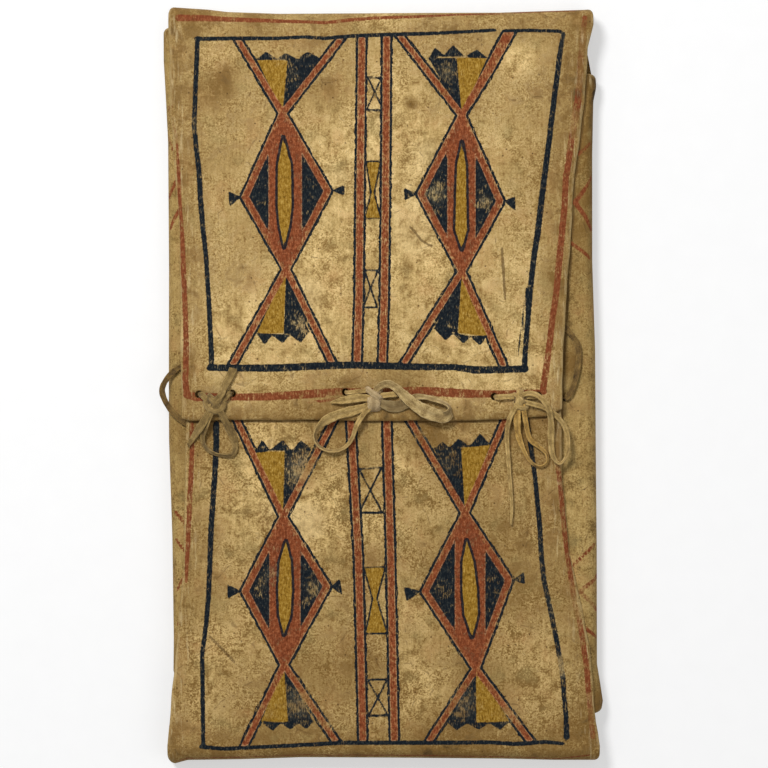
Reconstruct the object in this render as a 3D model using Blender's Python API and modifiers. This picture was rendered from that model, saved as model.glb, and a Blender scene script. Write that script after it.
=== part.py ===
"""A parfleche case: one sheet of rawhide folded into an envelope and tied shut with thongs.

The case lies on its back panel. X runs across it, Y along it towards the fold of the outer
flap, and Z up out of its front. The sizes below are in millimetres, and each mesh is turned
to metres as it is made. The sheet is split at its folds, so that each flap can turn about the
middle of its own fold.
"""

import math

import bmesh
import bpy
from mathutils import Vector

MM = 0.001

# The hide and its folds
LENGTH = 646.0
WIDTH = 368.0
HIDE = 2.4
SEAT = 0.3
SIDE_FOLD_R = 11.0
END_FOLD_R = SIDE_FOLD_R + (HIDE + SEAT) / 2
AXIS_X = WIDTH / 2 - SIDE_FOLD_R
AXIS_Y = LENGTH / 2 - END_FOLD_R
END_HALF_WIDTH = 182.5
# Where each side fold starts and ends along Y
LEFT_FOLD = (-250.0, 300.0)
RIGHT_FOLD = (-283.0, 268.0)
ARC_STEPS = 14

# How the layers rise over each other
DOME = 3.0
THONG_ROOM = 3.7
LOWER_RISE = (-150.0, -40.0)
UPPER_RISE = (150.0, 32.0)

# Outlines as (distance along Y, X of the edge)
UPPER_LEFT = [
    (AXIS_Y, -182.5), (236, -182.5), (176, -177.2), (132, -173.4), (12, -172.9), (-30, -171),
]
UPPER_RIGHT = [
    (AXIS_Y, 181), (290, 177.3), (243, 174.5), (177, 165), (111, 161.7), (30, 155.8), (-30, 153.5),
]
LOWER_LEFT = [
    (-AXIS_Y, -182.5), (-271, -180.6), (-213, -175.8), (-146, -170.7), (-33, -167.7), (22, -166),
]
LOWER_RIGHT = [
    (-AXIS_Y, 182.5), (-270, 181.8), (-224, 178.3), (-190, 171.5), (-141, 161.7), (-77, 154.8), (22, 152),
]
# Free ends as (X, Y of the end)
UPPER_END = [(-172, -27.5), (-165, -30), (100, -30), (141, -26.5), (154, -20.6)]
LOWER_END = [(-166, 14), (-155, 21.5), (141, 21.5), (152, 14)]
UPPER_GRID = (20, 16)
LOWER_GRID = (20, 16)

# Side flaps: how deep they reach over the back, and how their ends draw in
SIDE_DEPTH = 150.0
SIDE_TAPER = 0.55
SIDE_CORNER_R = 34.0
SIDE_GRID = (18, 8)

# Thongs of soft hide, and the holes that they pass through
THONG = 2.4
LAYER = THONG + 0.4
STRAP_LIFT = SEAT + 0.25
POINT_SPACING = 5.0
STEP_FADE = 9.0
EDGE_CLEAR = 3.6
HOLE_R = 2.9
HOLE_SIDES = 20

# A knot, and the turn of strap over it
KNOT_HEIGHT = 5.6
KNOT_LIFT = SEAT + 0.4
KNOT_FLATNESS = 0.75
BAND_WIDTH = 5.0
BAND_THICKNESS = 1.8
BAND_SPACING = 2.2
BAND_STEPS = 8
BAND_LEAN = 0.25
BAND_INSET = 0.6
BAND_FOOT = 0.42
BAND_RISE = 0.62

# The leg from a knot down through a hole, and the bight behind the lower flap
LEG_R = 1.8
LEG_LIFT = SEAT + 0.6 + LEG_R
LEG_GAP = 0.9
LEG_START_Y = 3.6
LEG_BEND = 2.0
LEG_SPACING = 2.6
BIGHT_R = 1.5
BIGHT_DEPTH = HIDE + 0.4 + BIGHT_R
BIGHT_BEND = 2.2
BIGHT_SPACING = 2.4

# The side thongs
SIDE_THONG_R = 1.5
SIDE_THONG_LIFT = SEAT + 0.2 + SIDE_THONG_R
SIDE_THONG_SPACING = 3.2
SIDE_HOLE = (157.7, -12.0)
SIDE_HOLE_R = 2.3
LOOP_SAG = 2.0
LOOP_SPACING = 4.2

# Each tie: strap width, its two holes, its knot, and its loose straps.
# A strap is a list of (X, Y, layers of strap under it).
TIES = {
    "left_tie": {
        "width": 5.4,
        "holes": [(-157.5, -8.0), (-128.5, -7.2)],
        "knot": (-143.0, -16.0, 8.2, 7.6),
        "straps": {
            "short_tail": [
                (-137.4, -7.4, 1.1), (-134.0, 0.5, 0.5), (-130.5, 8.0, 0), (-126.5, 17.0, 0),
            ],
            "tail": [(-150.6, -23.4, 0.2), (-157.4, -32.5, 0), (-162.5, -43.0, 0), (-166.6, -54.0, 0)],
            "loop": [
                (-144.0, -25.4, 0.9), (-149.8, -36.0, 0.3), (-154.4, -47.0, 0), (-149.5, -56.5, 0),
                (-139.5, -61.0, 0), (-129.0, -59.5, 0), (-125.2, -50.5, 0), (-129.6, -38.0, 0),
                (-136.6, -25.4, 0.9),
            ],
        },
    },
    "centre_tie": {
        "width": 6.8,
        "holes": [(-31.5, -6.0), (14.5, -7.5)],
        "knot": (-7.0, -12.5, 7.2, 8.4),
        "straps": {
            "tail": [(-15.6, -14.8, 1.2), (-24.0, -15.4, 1.15), (-33.0, -15.4, 0.9), (-44.0, -14.8, 0)],
            "left_loop": [
                (-14.4, -20.4, 0.1), (-26.0, -22.2, 0), (-40.0, -25.4, 0), (-51.5, -31.6, 0),
                (-57.6, -42.0, 0), (-54.5, -52.5, 0), (-44.5, -57.0, 0), (-33.0, -53.5, 0),
                (-25.2, -43.5, 0), (-17.4, -32.0, 0), (-9.6, -22.6, 0.9),
            ],
            "right_loop": [
                (-2.0, -4.2, 1.6), (7.5, 1.6, 1.4), (17.5, -1.2, 1.4), (27.0, -8.5, 0.4), (39.0, -14.2, 0),
                (51.0, -16.0, 0), (57.0, -21.5, 0), (51.5, -27.4, 0), (40.0, -27.2, 0), (27.5, -25.0, 0),
                (14.0, -23.0, 0), (2.0, -18.6, 0.5),
            ],
        },
    },
    "right_tie": {
        "width": 4.6,
        "holes": [(96.5, -10.0), (134.0, -9.0)],
        "knot": (118.5, -13.0, 6.6, 8.0),
        "straps": {
            "tail": [
                (113.2, -21.2, 0.6), (109.2, -30.0, 0), (107.4, -43.0, 0), (108.6, -62.0, 0),
                (110.4, -84.0, 0), (111.8, -104.0, 0), (111.0, -120.0, 0),
            ],
            "inner_loop": [
                (117.6, -22.8, 0.4), (118.2, -36.0, 0), (121.2, -52.0, 0), (126.4, -65.0, 0),
                (134.6, -70.6, 0), (141.4, -66.0, 0), (140.6, -58.4, 0), (133.0, -52.0, 0),
                (125.6, -42.0, 0), (123.6, -32.0, 0.4), (122.4, -22.0, 0.8),
            ],
            "outer_loop": [
                (125.6, -6.8, 1.7), (132.4, -8.4, 1.8), (140.8, -19.0, 0.4), (145.2, -33.0, 0),
                (145.8, -48.0, 0), (147.4, -61.0, 0), (152.8, -67.6, 0), (158.6, -60.0, 0),
                (159.8, -47.0, 0), (156.6, -34.0, 0.3), (149.0, -25.0, 1.0), (140.0, -20.2, 1.6),
                (132.0, -18.4, 1.2), (126.6, -16.2, 0.9),
            ],
        },
    },
}

# A thong through the right side flap, and one that loops out past the left edge
RIGHT_SIDE_THONG = [
    (150.0, 57.0), (158.0, 49.0), (163.6, 42.4), (168.4, 34.0), (169.4, 24.5), (168.2, 13.5),
    (166.0, 3.0), (162.6, -6.0), (158.4, -11.4),
]
LEFT_EDGE_THONG = [
    (-156.0, 18.5), (-166.0, 17.5), (-175.0, 15.0), (-184.0, 7.0), (-189.4, -3.5), (-186.6, -14.0),
    (-180.0, -23.5), (-171.0, -31.5), (-160.0, -37.0),
]

COLOURS = {
    "hide": ((0.56, 0.42, 0.24, 1), 0.72),
    "hide_worn": ((0.46, 0.34, 0.19, 1), 0.78),
    "thong": ((0.42, 0.34, 0.23, 1), 0.9),
    "side_thong": ((0.30, 0.23, 0.14, 1), 0.88),
}


def clear_scene():
    for item in list(bpy.data.objects):
        bpy.data.objects.remove(item, do_unlink=True)


def smooth(t):
    t = min(max(t, 0.0), 1.0)
    return t * t * (3 - 2 * t)


def mix(a, b, t):
    return a + (b - a) * t


def read(points, at):
    """The value at a place on a line through (place, value) points, in rising or falling order."""
    if points[0][0] > points[-1][0]:
        points = points[::-1]
    if at <= points[0][0]:
        return points[0][1]
    for (a, low), (b, high) in zip(points, points[1:]):
        if at <= b:
            return mix(low, high, (at - a) / (b - a))
    return points[-1][1]


def dome(x, y):
    """How far the packed case swells at a place, nothing along its four fold axes."""
    return DOME * max(0.0, 1 - (x / AXIS_X) ** 2) * max(0.0, 1 - (y / AXIS_Y) ** 2)


def side_top(x, y):
    return 2 * SIDE_FOLD_R + dome(x, y)


def lower_top(x, y):
    start, full = LOWER_RISE
    return 2 * END_FOLD_R + dome(x, y) + THONG_ROOM * smooth((y - start) / (full - start))


def upper_top(x, y):
    start, full = UPPER_RISE
    rise = THONG_ROOM + HIDE + SEAT
    return 2 * END_FOLD_R + dome(x, y) + rise * smooth((start - y) / (start - full))


def laid_top(x, y):
    """The top of the hide under the ties: the upper flap, and past its end the lower one."""
    end = read(UPPER_END, x) - EDGE_CLEAR
    down = smooth((end - y) / STEP_FADE)
    return mix(upper_top(x, max(y, end)), lower_top(x, y), down)


def material(name, kind):
    """The part's own material, in the colours of its kind."""
    colour, roughness = COLOURS[kind]
    made = bpy.data.materials.new(name)
    made.use_nodes = True
    shader = made.node_tree.nodes["Principled BSDF"]
    shader.inputs["Base Color"].default_value = colour
    shader.inputs["Roughness"].default_value = roughness
    shader.inputs["Metallic"].default_value = 0.0
    return made


def add_object(name, data, kind, collection):
    data.materials.append(material(name, kind))
    made = bpy.data.objects.new(name, data)
    collection.objects.link(made)
    return made


def joint_empty(name, place, collection):
    made = bpy.data.objects.new(name, None)
    made.location = Vector(place) * MM
    made.empty_display_size = 0.03
    collection.objects.link(made)
    return made


def hang_on(parent, *children):
    """Parents the pieces to an empty on a fold's axis, and leaves them where they are."""
    for child in children:
        child.parent = parent
        child.matrix_parent_inverse.identity()
        child.location = Vector(child.location) - Vector(parent.location)


def hide_sheet(name, grid, place, kind, collection):
    """A sheet whose top surface is place(u, v), thickened downwards."""
    across, along = grid
    mesh = bmesh.new()
    bmesh.ops.create_grid(mesh, x_segments=across, y_segments=along, size=0.5)
    for vert in mesh.verts:
        vert.co = Vector(place(vert.co.x + 0.5, vert.co.y + 0.5)) * MM
    data = bpy.data.meshes.new(name)
    mesh.to_mesh(data)
    mesh.free()
    data.shade_smooth()
    made = add_object(name, data, kind, collection)
    thicken = made.modifiers.new("thickness", "SOLIDIFY")
    thicken.thickness = HIDE * MM
    thicken.offset = -1
    thicken.use_even_offset = True
    return made


def flat_outline(name, points, thickness, kind, collection):
    """A flat piece cut to an outline, centred on its own plane."""
    data = bpy.data.curves.new(name, "CURVE")
    data.dimensions = "2D"
    data.fill_mode = "BOTH"
    data.extrude = thickness / 2 * MM
    line = data.splines.new("POLY")
    line.points.add(len(points) - 1)
    for spot, (x, y) in zip(line.points, points):
        spot.co = (x * MM, y * MM, 0, 1)
    line.use_cyclic_u = True
    return add_object(name, data, kind, collection)


def fold_strip(name, radius, length, collection):
    """Half a ring of hide, which runs from under the case round to its top."""
    turn = [math.pi * (i / ARC_STEPS - 0.5) for i in range(ARC_STEPS + 1)]
    outer = [(radius * math.cos(a), radius * math.sin(a)) for a in turn]
    bend = radius - HIDE
    inner = [(bend * math.cos(a), bend * math.sin(a)) for a in reversed(turn)]
    return flat_outline(name, outer + inner, length, "hide", collection)


def cutter(name, place, radius, depth, cutters):
    """A round cutter with its middle at a place."""
    mesh = bmesh.new()
    bmesh.ops.create_cone(
        mesh, cap_ends=True, segments=HOLE_SIDES, radius1=radius * MM, radius2=radius * MM,
        depth=depth * MM,
    )
    data = bpy.data.meshes.new(name)
    mesh.to_mesh(data)
    mesh.free()
    made = bpy.data.objects.new(name, data)
    made.location = Vector(place) * MM
    made.hide_render = True
    made.display_type = "WIRE"
    cutters.objects.link(made)
    return made


def pierce(target, spots, radius, top, cutters):
    """Holes through a sheet, whose upper surface is top(x, y)."""
    for number, (x, y) in enumerate(spots, 1):
        middle = (x, y, top(x, y) - HIDE / 2)
        hole = cutter(f"{target.name}_hole_{number}", middle, radius, 3 * HIDE, cutters)
        cut = target.modifiers.new(f"hole_{number}", "BOOLEAN")
        cut.operation = "DIFFERENCE"
        cut.solver = "EXACT"
        cut.object = hole


def smooth_route(points, spacing=POINT_SPACING):
    """A Catmull-Rom curve through the points, read at about even steps."""
    points = [Vector(p) for p in points]
    ends = [2 * points[0] - points[1], *points, 2 * points[-1] - points[-2]]
    fine = []
    for a, b, c, d in zip(ends, ends[1:], ends[2:], ends[3:]):
        for step in range(12):
            t = step / 12
            bend = (2 * a - 5 * b + 4 * c - d) * t**2 + (3 * b - a - 3 * c + d) * t**3
            fine.append(0.5 * (2 * b + (c - a) * t + bend))
    fine.append(points[-1])
    lengths = [0.0]
    for a, b in zip(fine, fine[1:]):
        lengths.append(lengths[-1] + (b - a).length)
    count = max(3, round(lengths[-1] / spacing))
    places, at = [], 0
    for step in range(count + 1):
        wanted = lengths[-1] * step / count
        while at < len(fine) - 2 and lengths[at + 1] < wanted:
            at += 1
        share = (wanted - lengths[at]) / max(lengths[at + 1] - lengths[at], 1e-9)
        places.append(fine[at].lerp(fine[at + 1], share))
    return places


def thong(name, route, width, thickness, collection, spacing=POINT_SPACING, kind="thong"):
    """A strap or a round thong along a route. A strap lies with its width level."""
    data = bpy.data.curves.new(name, "CURVE")
    data.dimensions = "3D"
    data.use_fill_caps = True
    data.bevel_depth = thickness / 2 * MM
    data.bevel_resolution = 2
    data.extrude = (width - thickness) / 2 * MM
    data.twist_mode = "Z_UP" if width > thickness else "MINIMUM"
    places = smooth_route(route, spacing)
    line = data.splines.new("POLY")
    line.points.add(len(places) - 1)
    for spot, place in zip(line.points, places):
        spot.co = (*(place * MM), 1)
        spot.tilt = math.pi / 2 if width > thickness else 0.0
    return add_object(name, data, kind, collection)


def laid_route(points):
    """Gives each (X, Y, layers under it) its height over the hide."""
    lift = STRAP_LIFT + THONG / 2
    return [(x, y, laid_top(x, y) + lift + under * LAYER) for x, y, under in points]


def as_mesh(curve):
    """The curve's solid as a mesh object with welded caps, in place of the curve."""
    graph = bpy.context.evaluated_depsgraph_get()
    data = bpy.data.meshes.new_from_object(curve.evaluated_get(graph))
    mesh = bmesh.new()
    mesh.from_mesh(data)
    bmesh.ops.remove_doubles(mesh, verts=mesh.verts, dist=0.00001)
    bmesh.ops.recalc_face_normals(mesh, faces=mesh.faces)
    mesh.to_mesh(data)
    mesh.free()
    made = bpy.data.objects.new(curve.name + "_mesh", data)
    made.matrix_world = curve.matrix_world
    bpy.data.objects.remove(curve)
    return made


def knot(name, spot, collection, cutters):
    """A flattened ball of strap with one turn of the strap wound over it."""
    x, y, half_x, half_y = spot
    floor = laid_top(x, y) + KNOT_LIFT
    mesh = bmesh.new()
    bmesh.ops.create_uvsphere(mesh, u_segments=18, v_segments=10, radius=1.0)
    for vert in mesh.verts:
        flat = math.copysign(abs(vert.co.z) ** KNOT_FLATNESS, vert.co.z)
        high = floor + (flat + 1) / 2 * KNOT_HEIGHT
        vert.co = Vector((x + vert.co.x * half_x, y + vert.co.y * half_y, high)) * MM
    data = bpy.data.meshes.new(name)
    mesh.to_mesh(data)
    mesh.free()
    data.shade_smooth()
    made = add_object(name, data, "thong", collection)

    arch = []
    for step in range(BAND_STEPS + 1):
        turn = math.pi * step / BAND_STEPS
        out = math.cos(turn)
        high = floor + KNOT_HEIGHT * (BAND_FOOT + BAND_RISE * math.sin(turn))
        arch.append((x + BAND_LEAN * half_x * out, y + (half_y - BAND_INSET) * out, high))
    band = as_mesh(thong(name + "_band", arch, BAND_WIDTH, BAND_THICKNESS, collection, BAND_SPACING))
    band.hide_render = True
    band.display_type = "WIRE"
    cutters.objects.link(band)
    join = made.modifiers.new("band", "BOOLEAN")
    join.operation = "UNION"
    join.solver = "EXACT"
    join.object = band
    return made


def tie_leg(name, hole, spot, side, collection):
    """The strap from the knot's side over the flap and down its hole, to the flap's underside."""
    x, y = hole
    knot_x, knot_y, half_x, _ = spot
    top = laid_top(x, y)
    reach = knot_x + side * (half_x + LEG_GAP)
    start = knot_y + LEG_START_Y
    lie = laid_top(reach, knot_y) + LEG_LIFT
    route = [
        (reach, start, lie + 0.3),
        (mix(reach, x, 0.45), mix(start, y, 0.5), lie + 0.1),
        (x - side * LEG_BEND, y, top + LEG_R + LEG_GAP),
        (x, y, top - 0.2),
        (x, y, top - HIDE + SEAT),
    ]
    return thong(name, route, 2 * LEG_R, 2 * LEG_R, collection, LEG_SPACING)


def tie_bight(name, holes, collection):
    """The strap behind the lower flap, up through both holes to that flap's top."""
    (x0, y0), (x1, y1) = holes
    top0, top1 = lower_top(x0, y0), lower_top(x1, y1)
    middle, middle_y = mix(x0, x1, 0.5), mix(y0, y1, 0.5) - 1.0
    route = [
        (x0, y0, top0),
        (x0, y0, top0 - 1.4),
        (x0 + BIGHT_BEND, y0, top0 - BIGHT_DEPTH + 0.1),
        (middle, middle_y, lower_top(middle, y0) - BIGHT_DEPTH),
        (x1 - BIGHT_BEND, y1, top1 - BIGHT_DEPTH + 0.1),
        (x1, y1, top1 - 1.4),
        (x1, y1, top1),
    ]
    return thong(name, route, 2 * BIGHT_R, 2 * BIGHT_R, collection, BIGHT_SPACING)


def back_panel(collection):
    """The back, narrower where the side folds stand beside it."""
    end, wide, narrow = AXIS_Y - SEAT, END_HALF_WIDTH, AXIS_X - SEAT
    outline = []
    for side, (low, high) in ((1, RIGHT_FOLD), (-1, LEFT_FOLD)):
        edge = [(wide, end), (wide, high + SEAT), (narrow, high + SEAT)]
        edge += [(narrow, low - SEAT), (wide, low - SEAT), (wide, -end)]
        outline += [(side * x, y) for x, y in edge][::side]
    made = flat_outline("back_panel", outline, HIDE, "hide", collection)
    made.location.z = HIDE / 2 * MM
    return made


def end_fold(name, side, collection):
    made = fold_strip(name, END_FOLD_R, 2 * END_HALF_WIDTH, collection)
    made.rotation_euler = (math.pi / 2, 0, side * math.pi / 2)
    made.location = Vector((0, side * AXIS_Y, END_FOLD_R)) * MM
    return made


def side_fold(name, side, span, collection):
    low, high = span
    made = fold_strip(name, SIDE_FOLD_R, high - low, collection)
    made.rotation_euler = (math.pi / 2, 0, 0 if side > 0 else math.pi)
    made.location = Vector((side * AXIS_X, (low + high) / 2, SIDE_FOLD_R)) * MM
    return made


def drawn_in(depth):
    """How far a side flap's end is drawn in at a depth from its fold."""
    past = max(0.0, depth - (SIDE_DEPTH - SIDE_CORNER_R))
    rounding = SIDE_CORNER_R - math.sqrt(max(SIDE_CORNER_R**2 - past**2, 0.0))
    return SIDE_TAPER * depth + rounding


def side_flap(name, side, span, collection):
    low, high = span[::side]

    def place(u, v):
        depth = SIDE_DEPTH * v
        x = side * (AXIS_X - SEAT - depth)
        y = mix(low + side * drawn_in(depth), high - side * drawn_in(depth), u)
        return x, y, side_top(x, y)

    return hide_sheet(name, SIDE_GRID, place, "hide_worn", collection)


def end_flap(name, grid, root, left, right, end, top, kind, collection):
    """A flap from its fold at Y = root to its free end."""
    free = end[len(end) // 2][1]
    side = math.copysign(1, root)

    def place(u, v):
        row = mix(free, root, v if side > 0 else 1 - v)
        x = mix(read(left, row), read(right, row), u)
        share = (row - root) / (free - root)
        y = mix(root, read(end, x), share)
        return x, y, top(x, y)

    return hide_sheet(name, grid, place, kind, collection)


def build_tie(name, facts, collection, cutters):
    """The knot, the loose straps and the legs of one tie, and apart from them its bight."""
    pieces = [knot(name + "_knot", facts["knot"], collection, cutters)]
    for strap, points in facts["straps"].items():
        pieces.append(thong(f"{name}_{strap}", laid_route(points), facts["width"], THONG, collection))
    legs = (("left_leg", -1), ("right_leg", 1))
    for (leg, side), hole in zip(legs, facts["holes"]):
        pieces.append(tie_leg(f"{name}_{leg}", hole, facts["knot"], side, collection))
    return pieces, tie_bight(name + "_bight", facts["holes"], collection)


def side_thong(name, route, spacing, collection):
    return thong(name, route, 2 * SIDE_THONG_R, 2 * SIDE_THONG_R, collection, spacing, "side_thong")


def right_side_thong(collection):
    """Lies on the right side flap and ends down a hole in it."""
    route = [(x, y, side_top(x, y) + SIDE_THONG_LIFT) for x, y in RIGHT_SIDE_THONG]
    x, y = SIDE_HOLE
    route += [(x, y, side_top(x, y) - 0.6), (x, y, side_top(x, y) - HIDE)]
    return side_thong("right_side_thong", route, SIDE_THONG_SPACING, collection)


def left_edge_thong(collection):
    """A slack loop from under the lower flap, out over the left fold and back."""
    outermost = max(-x for x, _ in LEFT_EDGE_THONG)
    route = []
    for x, y in LEFT_EDGE_THONG:
        past = max(0.0, -x - AXIS_X) / (outermost - AXIS_X)
        route.append((x, y, side_top(x, y) + SIDE_THONG_LIFT - LOOP_SAG * past))
    return side_thong("left_edge_thong", route, LOOP_SPACING, collection)


def main():
    clear_scene()
    case = bpy.data.collections.new("parfleche_case")
    cutters = bpy.data.collections.new("cutters")
    for group in (case, cutters):
        bpy.context.scene.collection.children.link(group)

    back_panel(case)
    end_fold("top_fold", 1, case)
    end_fold("bottom_fold", -1, case)
    side_fold("right_fold", 1, RIGHT_FOLD, case)
    side_fold("left_fold", -1, LEFT_FOLD, case)

    holes = [spot for facts in TIES.values() for spot in facts["holes"]]
    root = AXIS_Y - SEAT
    upper = end_flap(
        "top_flap", UPPER_GRID, root, UPPER_LEFT, UPPER_RIGHT, UPPER_END, upper_top, "hide", case
    )
    pierce(upper, holes, HOLE_R, upper_top, cutters)
    lower = end_flap(
        "bottom_flap", LOWER_GRID, -root, LOWER_LEFT, LOWER_RIGHT, LOWER_END, lower_top, "hide_worn",
        case,
    )
    pierce(lower, holes, HOLE_R, lower_top, cutters)
    right = side_flap("right_side_flap", 1, RIGHT_FOLD, case)
    pierce(right, [SIDE_HOLE], SIDE_HOLE_R, side_top, cutters)
    left = side_flap("left_side_flap", -1, LEFT_FOLD, case)

    on_upper, on_lower = [upper], [lower, left_edge_thong(case)]
    for name, facts in TIES.items():
        pieces, bight = build_tie(name, facts, case, cutters)
        on_upper += pieces
        on_lower.append(bight)

    turning = {
        "top_flap_axis": ((0, AXIS_Y, END_FOLD_R), on_upper),
        "bottom_flap_axis": ((0, -AXIS_Y, END_FOLD_R), on_lower),
        "right_side_flap_axis": ((AXIS_X, 0, SIDE_FOLD_R), [right, right_side_thong(case)]),
        "left_side_flap_axis": ((-AXIS_X, 0, SIDE_FOLD_R), [left]),
    }
    for name, (place, pieces) in turning.items():
        hang_on(joint_empty(name, place, case), *pieces)


main()
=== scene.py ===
"""The parfleche case as it looks: painted rawhide folded round and tied with buckskin thongs.

Lengths are in millimetres in the model's own frame, and become metres when a mesh is made. The
shape functions and the thongs' routes are those of the model. The sheet coordinates unroll the
hide round its folds, so that its grain and paint run on over each fold.
"""

import math

import bmesh
import bpy
import numpy as np
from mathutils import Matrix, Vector


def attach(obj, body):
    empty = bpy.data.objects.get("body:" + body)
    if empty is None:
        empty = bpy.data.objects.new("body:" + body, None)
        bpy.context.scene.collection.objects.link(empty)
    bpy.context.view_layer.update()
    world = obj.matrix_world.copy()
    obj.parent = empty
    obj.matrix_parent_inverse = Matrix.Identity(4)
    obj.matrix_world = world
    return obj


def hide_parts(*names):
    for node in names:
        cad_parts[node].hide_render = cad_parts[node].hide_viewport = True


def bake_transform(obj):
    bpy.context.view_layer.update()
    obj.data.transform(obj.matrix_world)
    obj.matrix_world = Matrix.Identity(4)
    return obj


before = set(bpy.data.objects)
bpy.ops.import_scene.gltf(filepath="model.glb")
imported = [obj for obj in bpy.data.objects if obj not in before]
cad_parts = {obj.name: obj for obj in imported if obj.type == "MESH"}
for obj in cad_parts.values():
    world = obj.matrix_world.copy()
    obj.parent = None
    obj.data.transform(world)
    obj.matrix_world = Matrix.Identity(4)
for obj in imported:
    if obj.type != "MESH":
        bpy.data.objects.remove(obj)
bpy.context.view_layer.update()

MM = 0.001
FAR = 60.0

# The hide and its folds, as in the model
LENGTH = 646.0
WIDTH = 368.0
HIDE = 2.4
SEAT = 0.3
SIDE_FOLD_R = 11.0
END_FOLD_R = SIDE_FOLD_R + (HIDE + SEAT) / 2
AXIS_X = WIDTH / 2 - SIDE_FOLD_R
AXIS_Y = LENGTH / 2 - END_FOLD_R

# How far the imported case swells, the room under a flap for the thongs, and the Y from and to
# which each end flap rises to make that room
DOME = 3.0
THONG_ROOM = 3.7
LOWER_RISE = (-150.0, -40.0)
UPPER_RISE = (150.0, 32.0)

# The side flaps: how deep they are, how their ends draw in and are rounded, and their Y
SIDE_DEPTH = 150.0
SIDE_TAPER = 0.55
SIDE_CORNER_R = 34.0
SIDE_ENDS = {"left": (-250, 308.5), "right": (-283, 268)}

# Outlines as (Y, X of the edge), and free ends as (X, Y of the end)
UPPER_LEFT = [
    (-30, -171), (12, -172.9), (132, -173.4), (176, -177.2), (236, -182.5), (290, -182.8),
    (AXIS_Y, -183.8),
]
UPPER_RIGHT = [
    (-30, 153.5), (30, 155.8), (111, 161.7), (177, 165), (243, 174.5), (290, 177.3),
    (AXIS_Y, 182.2),
]
LOWER_LEFT = [
    (-AXIS_Y, -184.9), (-290, -182.2), (-271, -180.6), (-213, -175.8), (-146, -170.7),
    (-33, -167.7), (22, -166),
]
LOWER_RIGHT = [
    (-AXIS_Y, 187.8), (-300, 186.4), (-290, 184.2), (-270, 181.8), (-224, 178.3), (-190, 171.5),
    (-141, 161.7), (-77, 154.8), (22, 152),
]
UPPER_END = [(-172, -27.5), (-165, -30), (100, -30), (141, -26.5), (154, -20.6)]
BACK_LEFT = [(-AXIS_Y, -184.9), (-298, -180), (-250, -174), (308, -178), (AXIS_Y, -183.8)]
BACK_RIGHT = [
    (-AXIS_Y, 187.8), (-300, 184), (-283, 181.5), (268, 181.7), (285, 178.5), (297, 175.5),
    (AXIS_Y, 182.2),
]
LOWER_END = [(-166, 14), (-155, 21.5), (141, 21.5), (152, 14)]

# How far each fold stands out past its half round, as (place along it, distance)
TOP_BULGE = [
    (-183, 3.6), (-150, 1.4), (-134, -0.6), (-89, -2.2), (40, -1.4), (101, -1.2), (174, 1.2),
    (182, 1.8),
]
BOTTOM_BULGE = [
    (-185, 2), (-179, 4), (-168, 1), (-120, 0.3), (-70, -1.4), (15, -1), (103, -0.2), (149, 0.9),
]
LEFT_BULGE = [
    (-250, -3.6), (-219, -3.9), (-133, -2.7), (-47, 0.2), (0, 0.4), (100, 0.2), (210, 1),
    (245, 2.8), (267, 4), (280, 4.8), (306, 4.9),
]
RIGHT_BULGE = [
    (-283, 5.4), (-273, 7), (-259, 4.9), (-241, 1.9), (-140, 1.7), (-56, 0.9), (30, 0.3),
    (107, -2.2), (200, -2.2), (245, -1.3), (257, 1.2), (268, 0.8),
]

# Slow waves of the old hide, as (radians per mm along X, and along Y, phase, height), and waves
# of its edges, as (radians per mm, phase, height)
WAVES = [
    (0.021, 0.013, 0.4, 0.42), (-0.034, 0.019, 2.1, 0.34), (0.011, -0.041, 4, 0.36),
    (0.052, 0.034, 1.2, 0.16), (0.027, -0.063, 5.3, 0.14),
]
EDGE_WAVES = [(0.031, 0.3, 0.42), (0.083, 1.9, 0.26), (0.19, 4.4, 0.16)]

# The hide's grids: the X that the columns of an end flap are spread over, the finer columns
# under the ladder, and the cells
SHEET_SPAN = (-175.0, 165.0)
LADDER = (-31.0, 14.0)
LADDER_CELL = 1.0
CELL = 1.8
FOLD_CELL = 1.3
SIDE_CELL = 2.6
BACK_CELL = 6.0
BACK_COLUMNS = 61

# The folds, as (how far out the axis lies, radius, cell, whether it runs along X)
END_BEND = (AXIS_Y, END_FOLD_R, FOLD_CELL, True)
SIDE_BEND = (AXIS_X, SIDE_FOLD_R, SIDE_CELL, False)

# How the cells draw in to a hole: each ring's share of the way, and how many rings shift
HOLE_PULLS = {2: 1.0, 3: 0.55, 4: 0.25}
HOLE_REACH = 6

# The hide's edges: how far they stand out, how much they thin and over what width, the share of
# a flap over which that begins, and how deep in a side flap it waves in full
EDGE_BULGE = 0.35
EDGE_THINNING = 0.9
THINNED = 3.2
SETTLE_SHARE = 0.1
SIDE_WAVE_FULL = 60.0

# How round a fold's ends are, and the gap between the back and a side fold
CORNER_R = 5.0
SEAM = 0.03

# Where the grain of a sheet's inner face and of its cut edge is read
INNER_PLACE = 400.0
EDGE_PLACE = 200.0

# How far in the hide is dirty from its edges, and how many times less far from a free end
MARGIN = 38.0
END_NARROWER = 1.6

# How the upper flap's free end curls up, and how that changes along it, as an edge wave
CURL = 1.6
CURL_REACH = 24.0
CURL_WAVE = (0.033, 0.8, 0.4)

# The thongs, as in the model
THONG = 2.4
LAYER = THONG + 0.4
LEG_R = 1.8
BIGHT_R = 1.5
HOLE_R = 3.2
SIDE_THONG_R = 1.5
SIDE_HOLE = (157.7, -12.0)
SIDE_HOLE_R = 2.3
LIE = SEAT + 0.25
KNOT_HEIGHT = 5.6

# What the ties lie on steps down from the upper flap to the lower one: how far past that flap's
# end it begins, and over what length
EDGE_CLEAR = 3.6
STEP_FADE = 9.0

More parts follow.
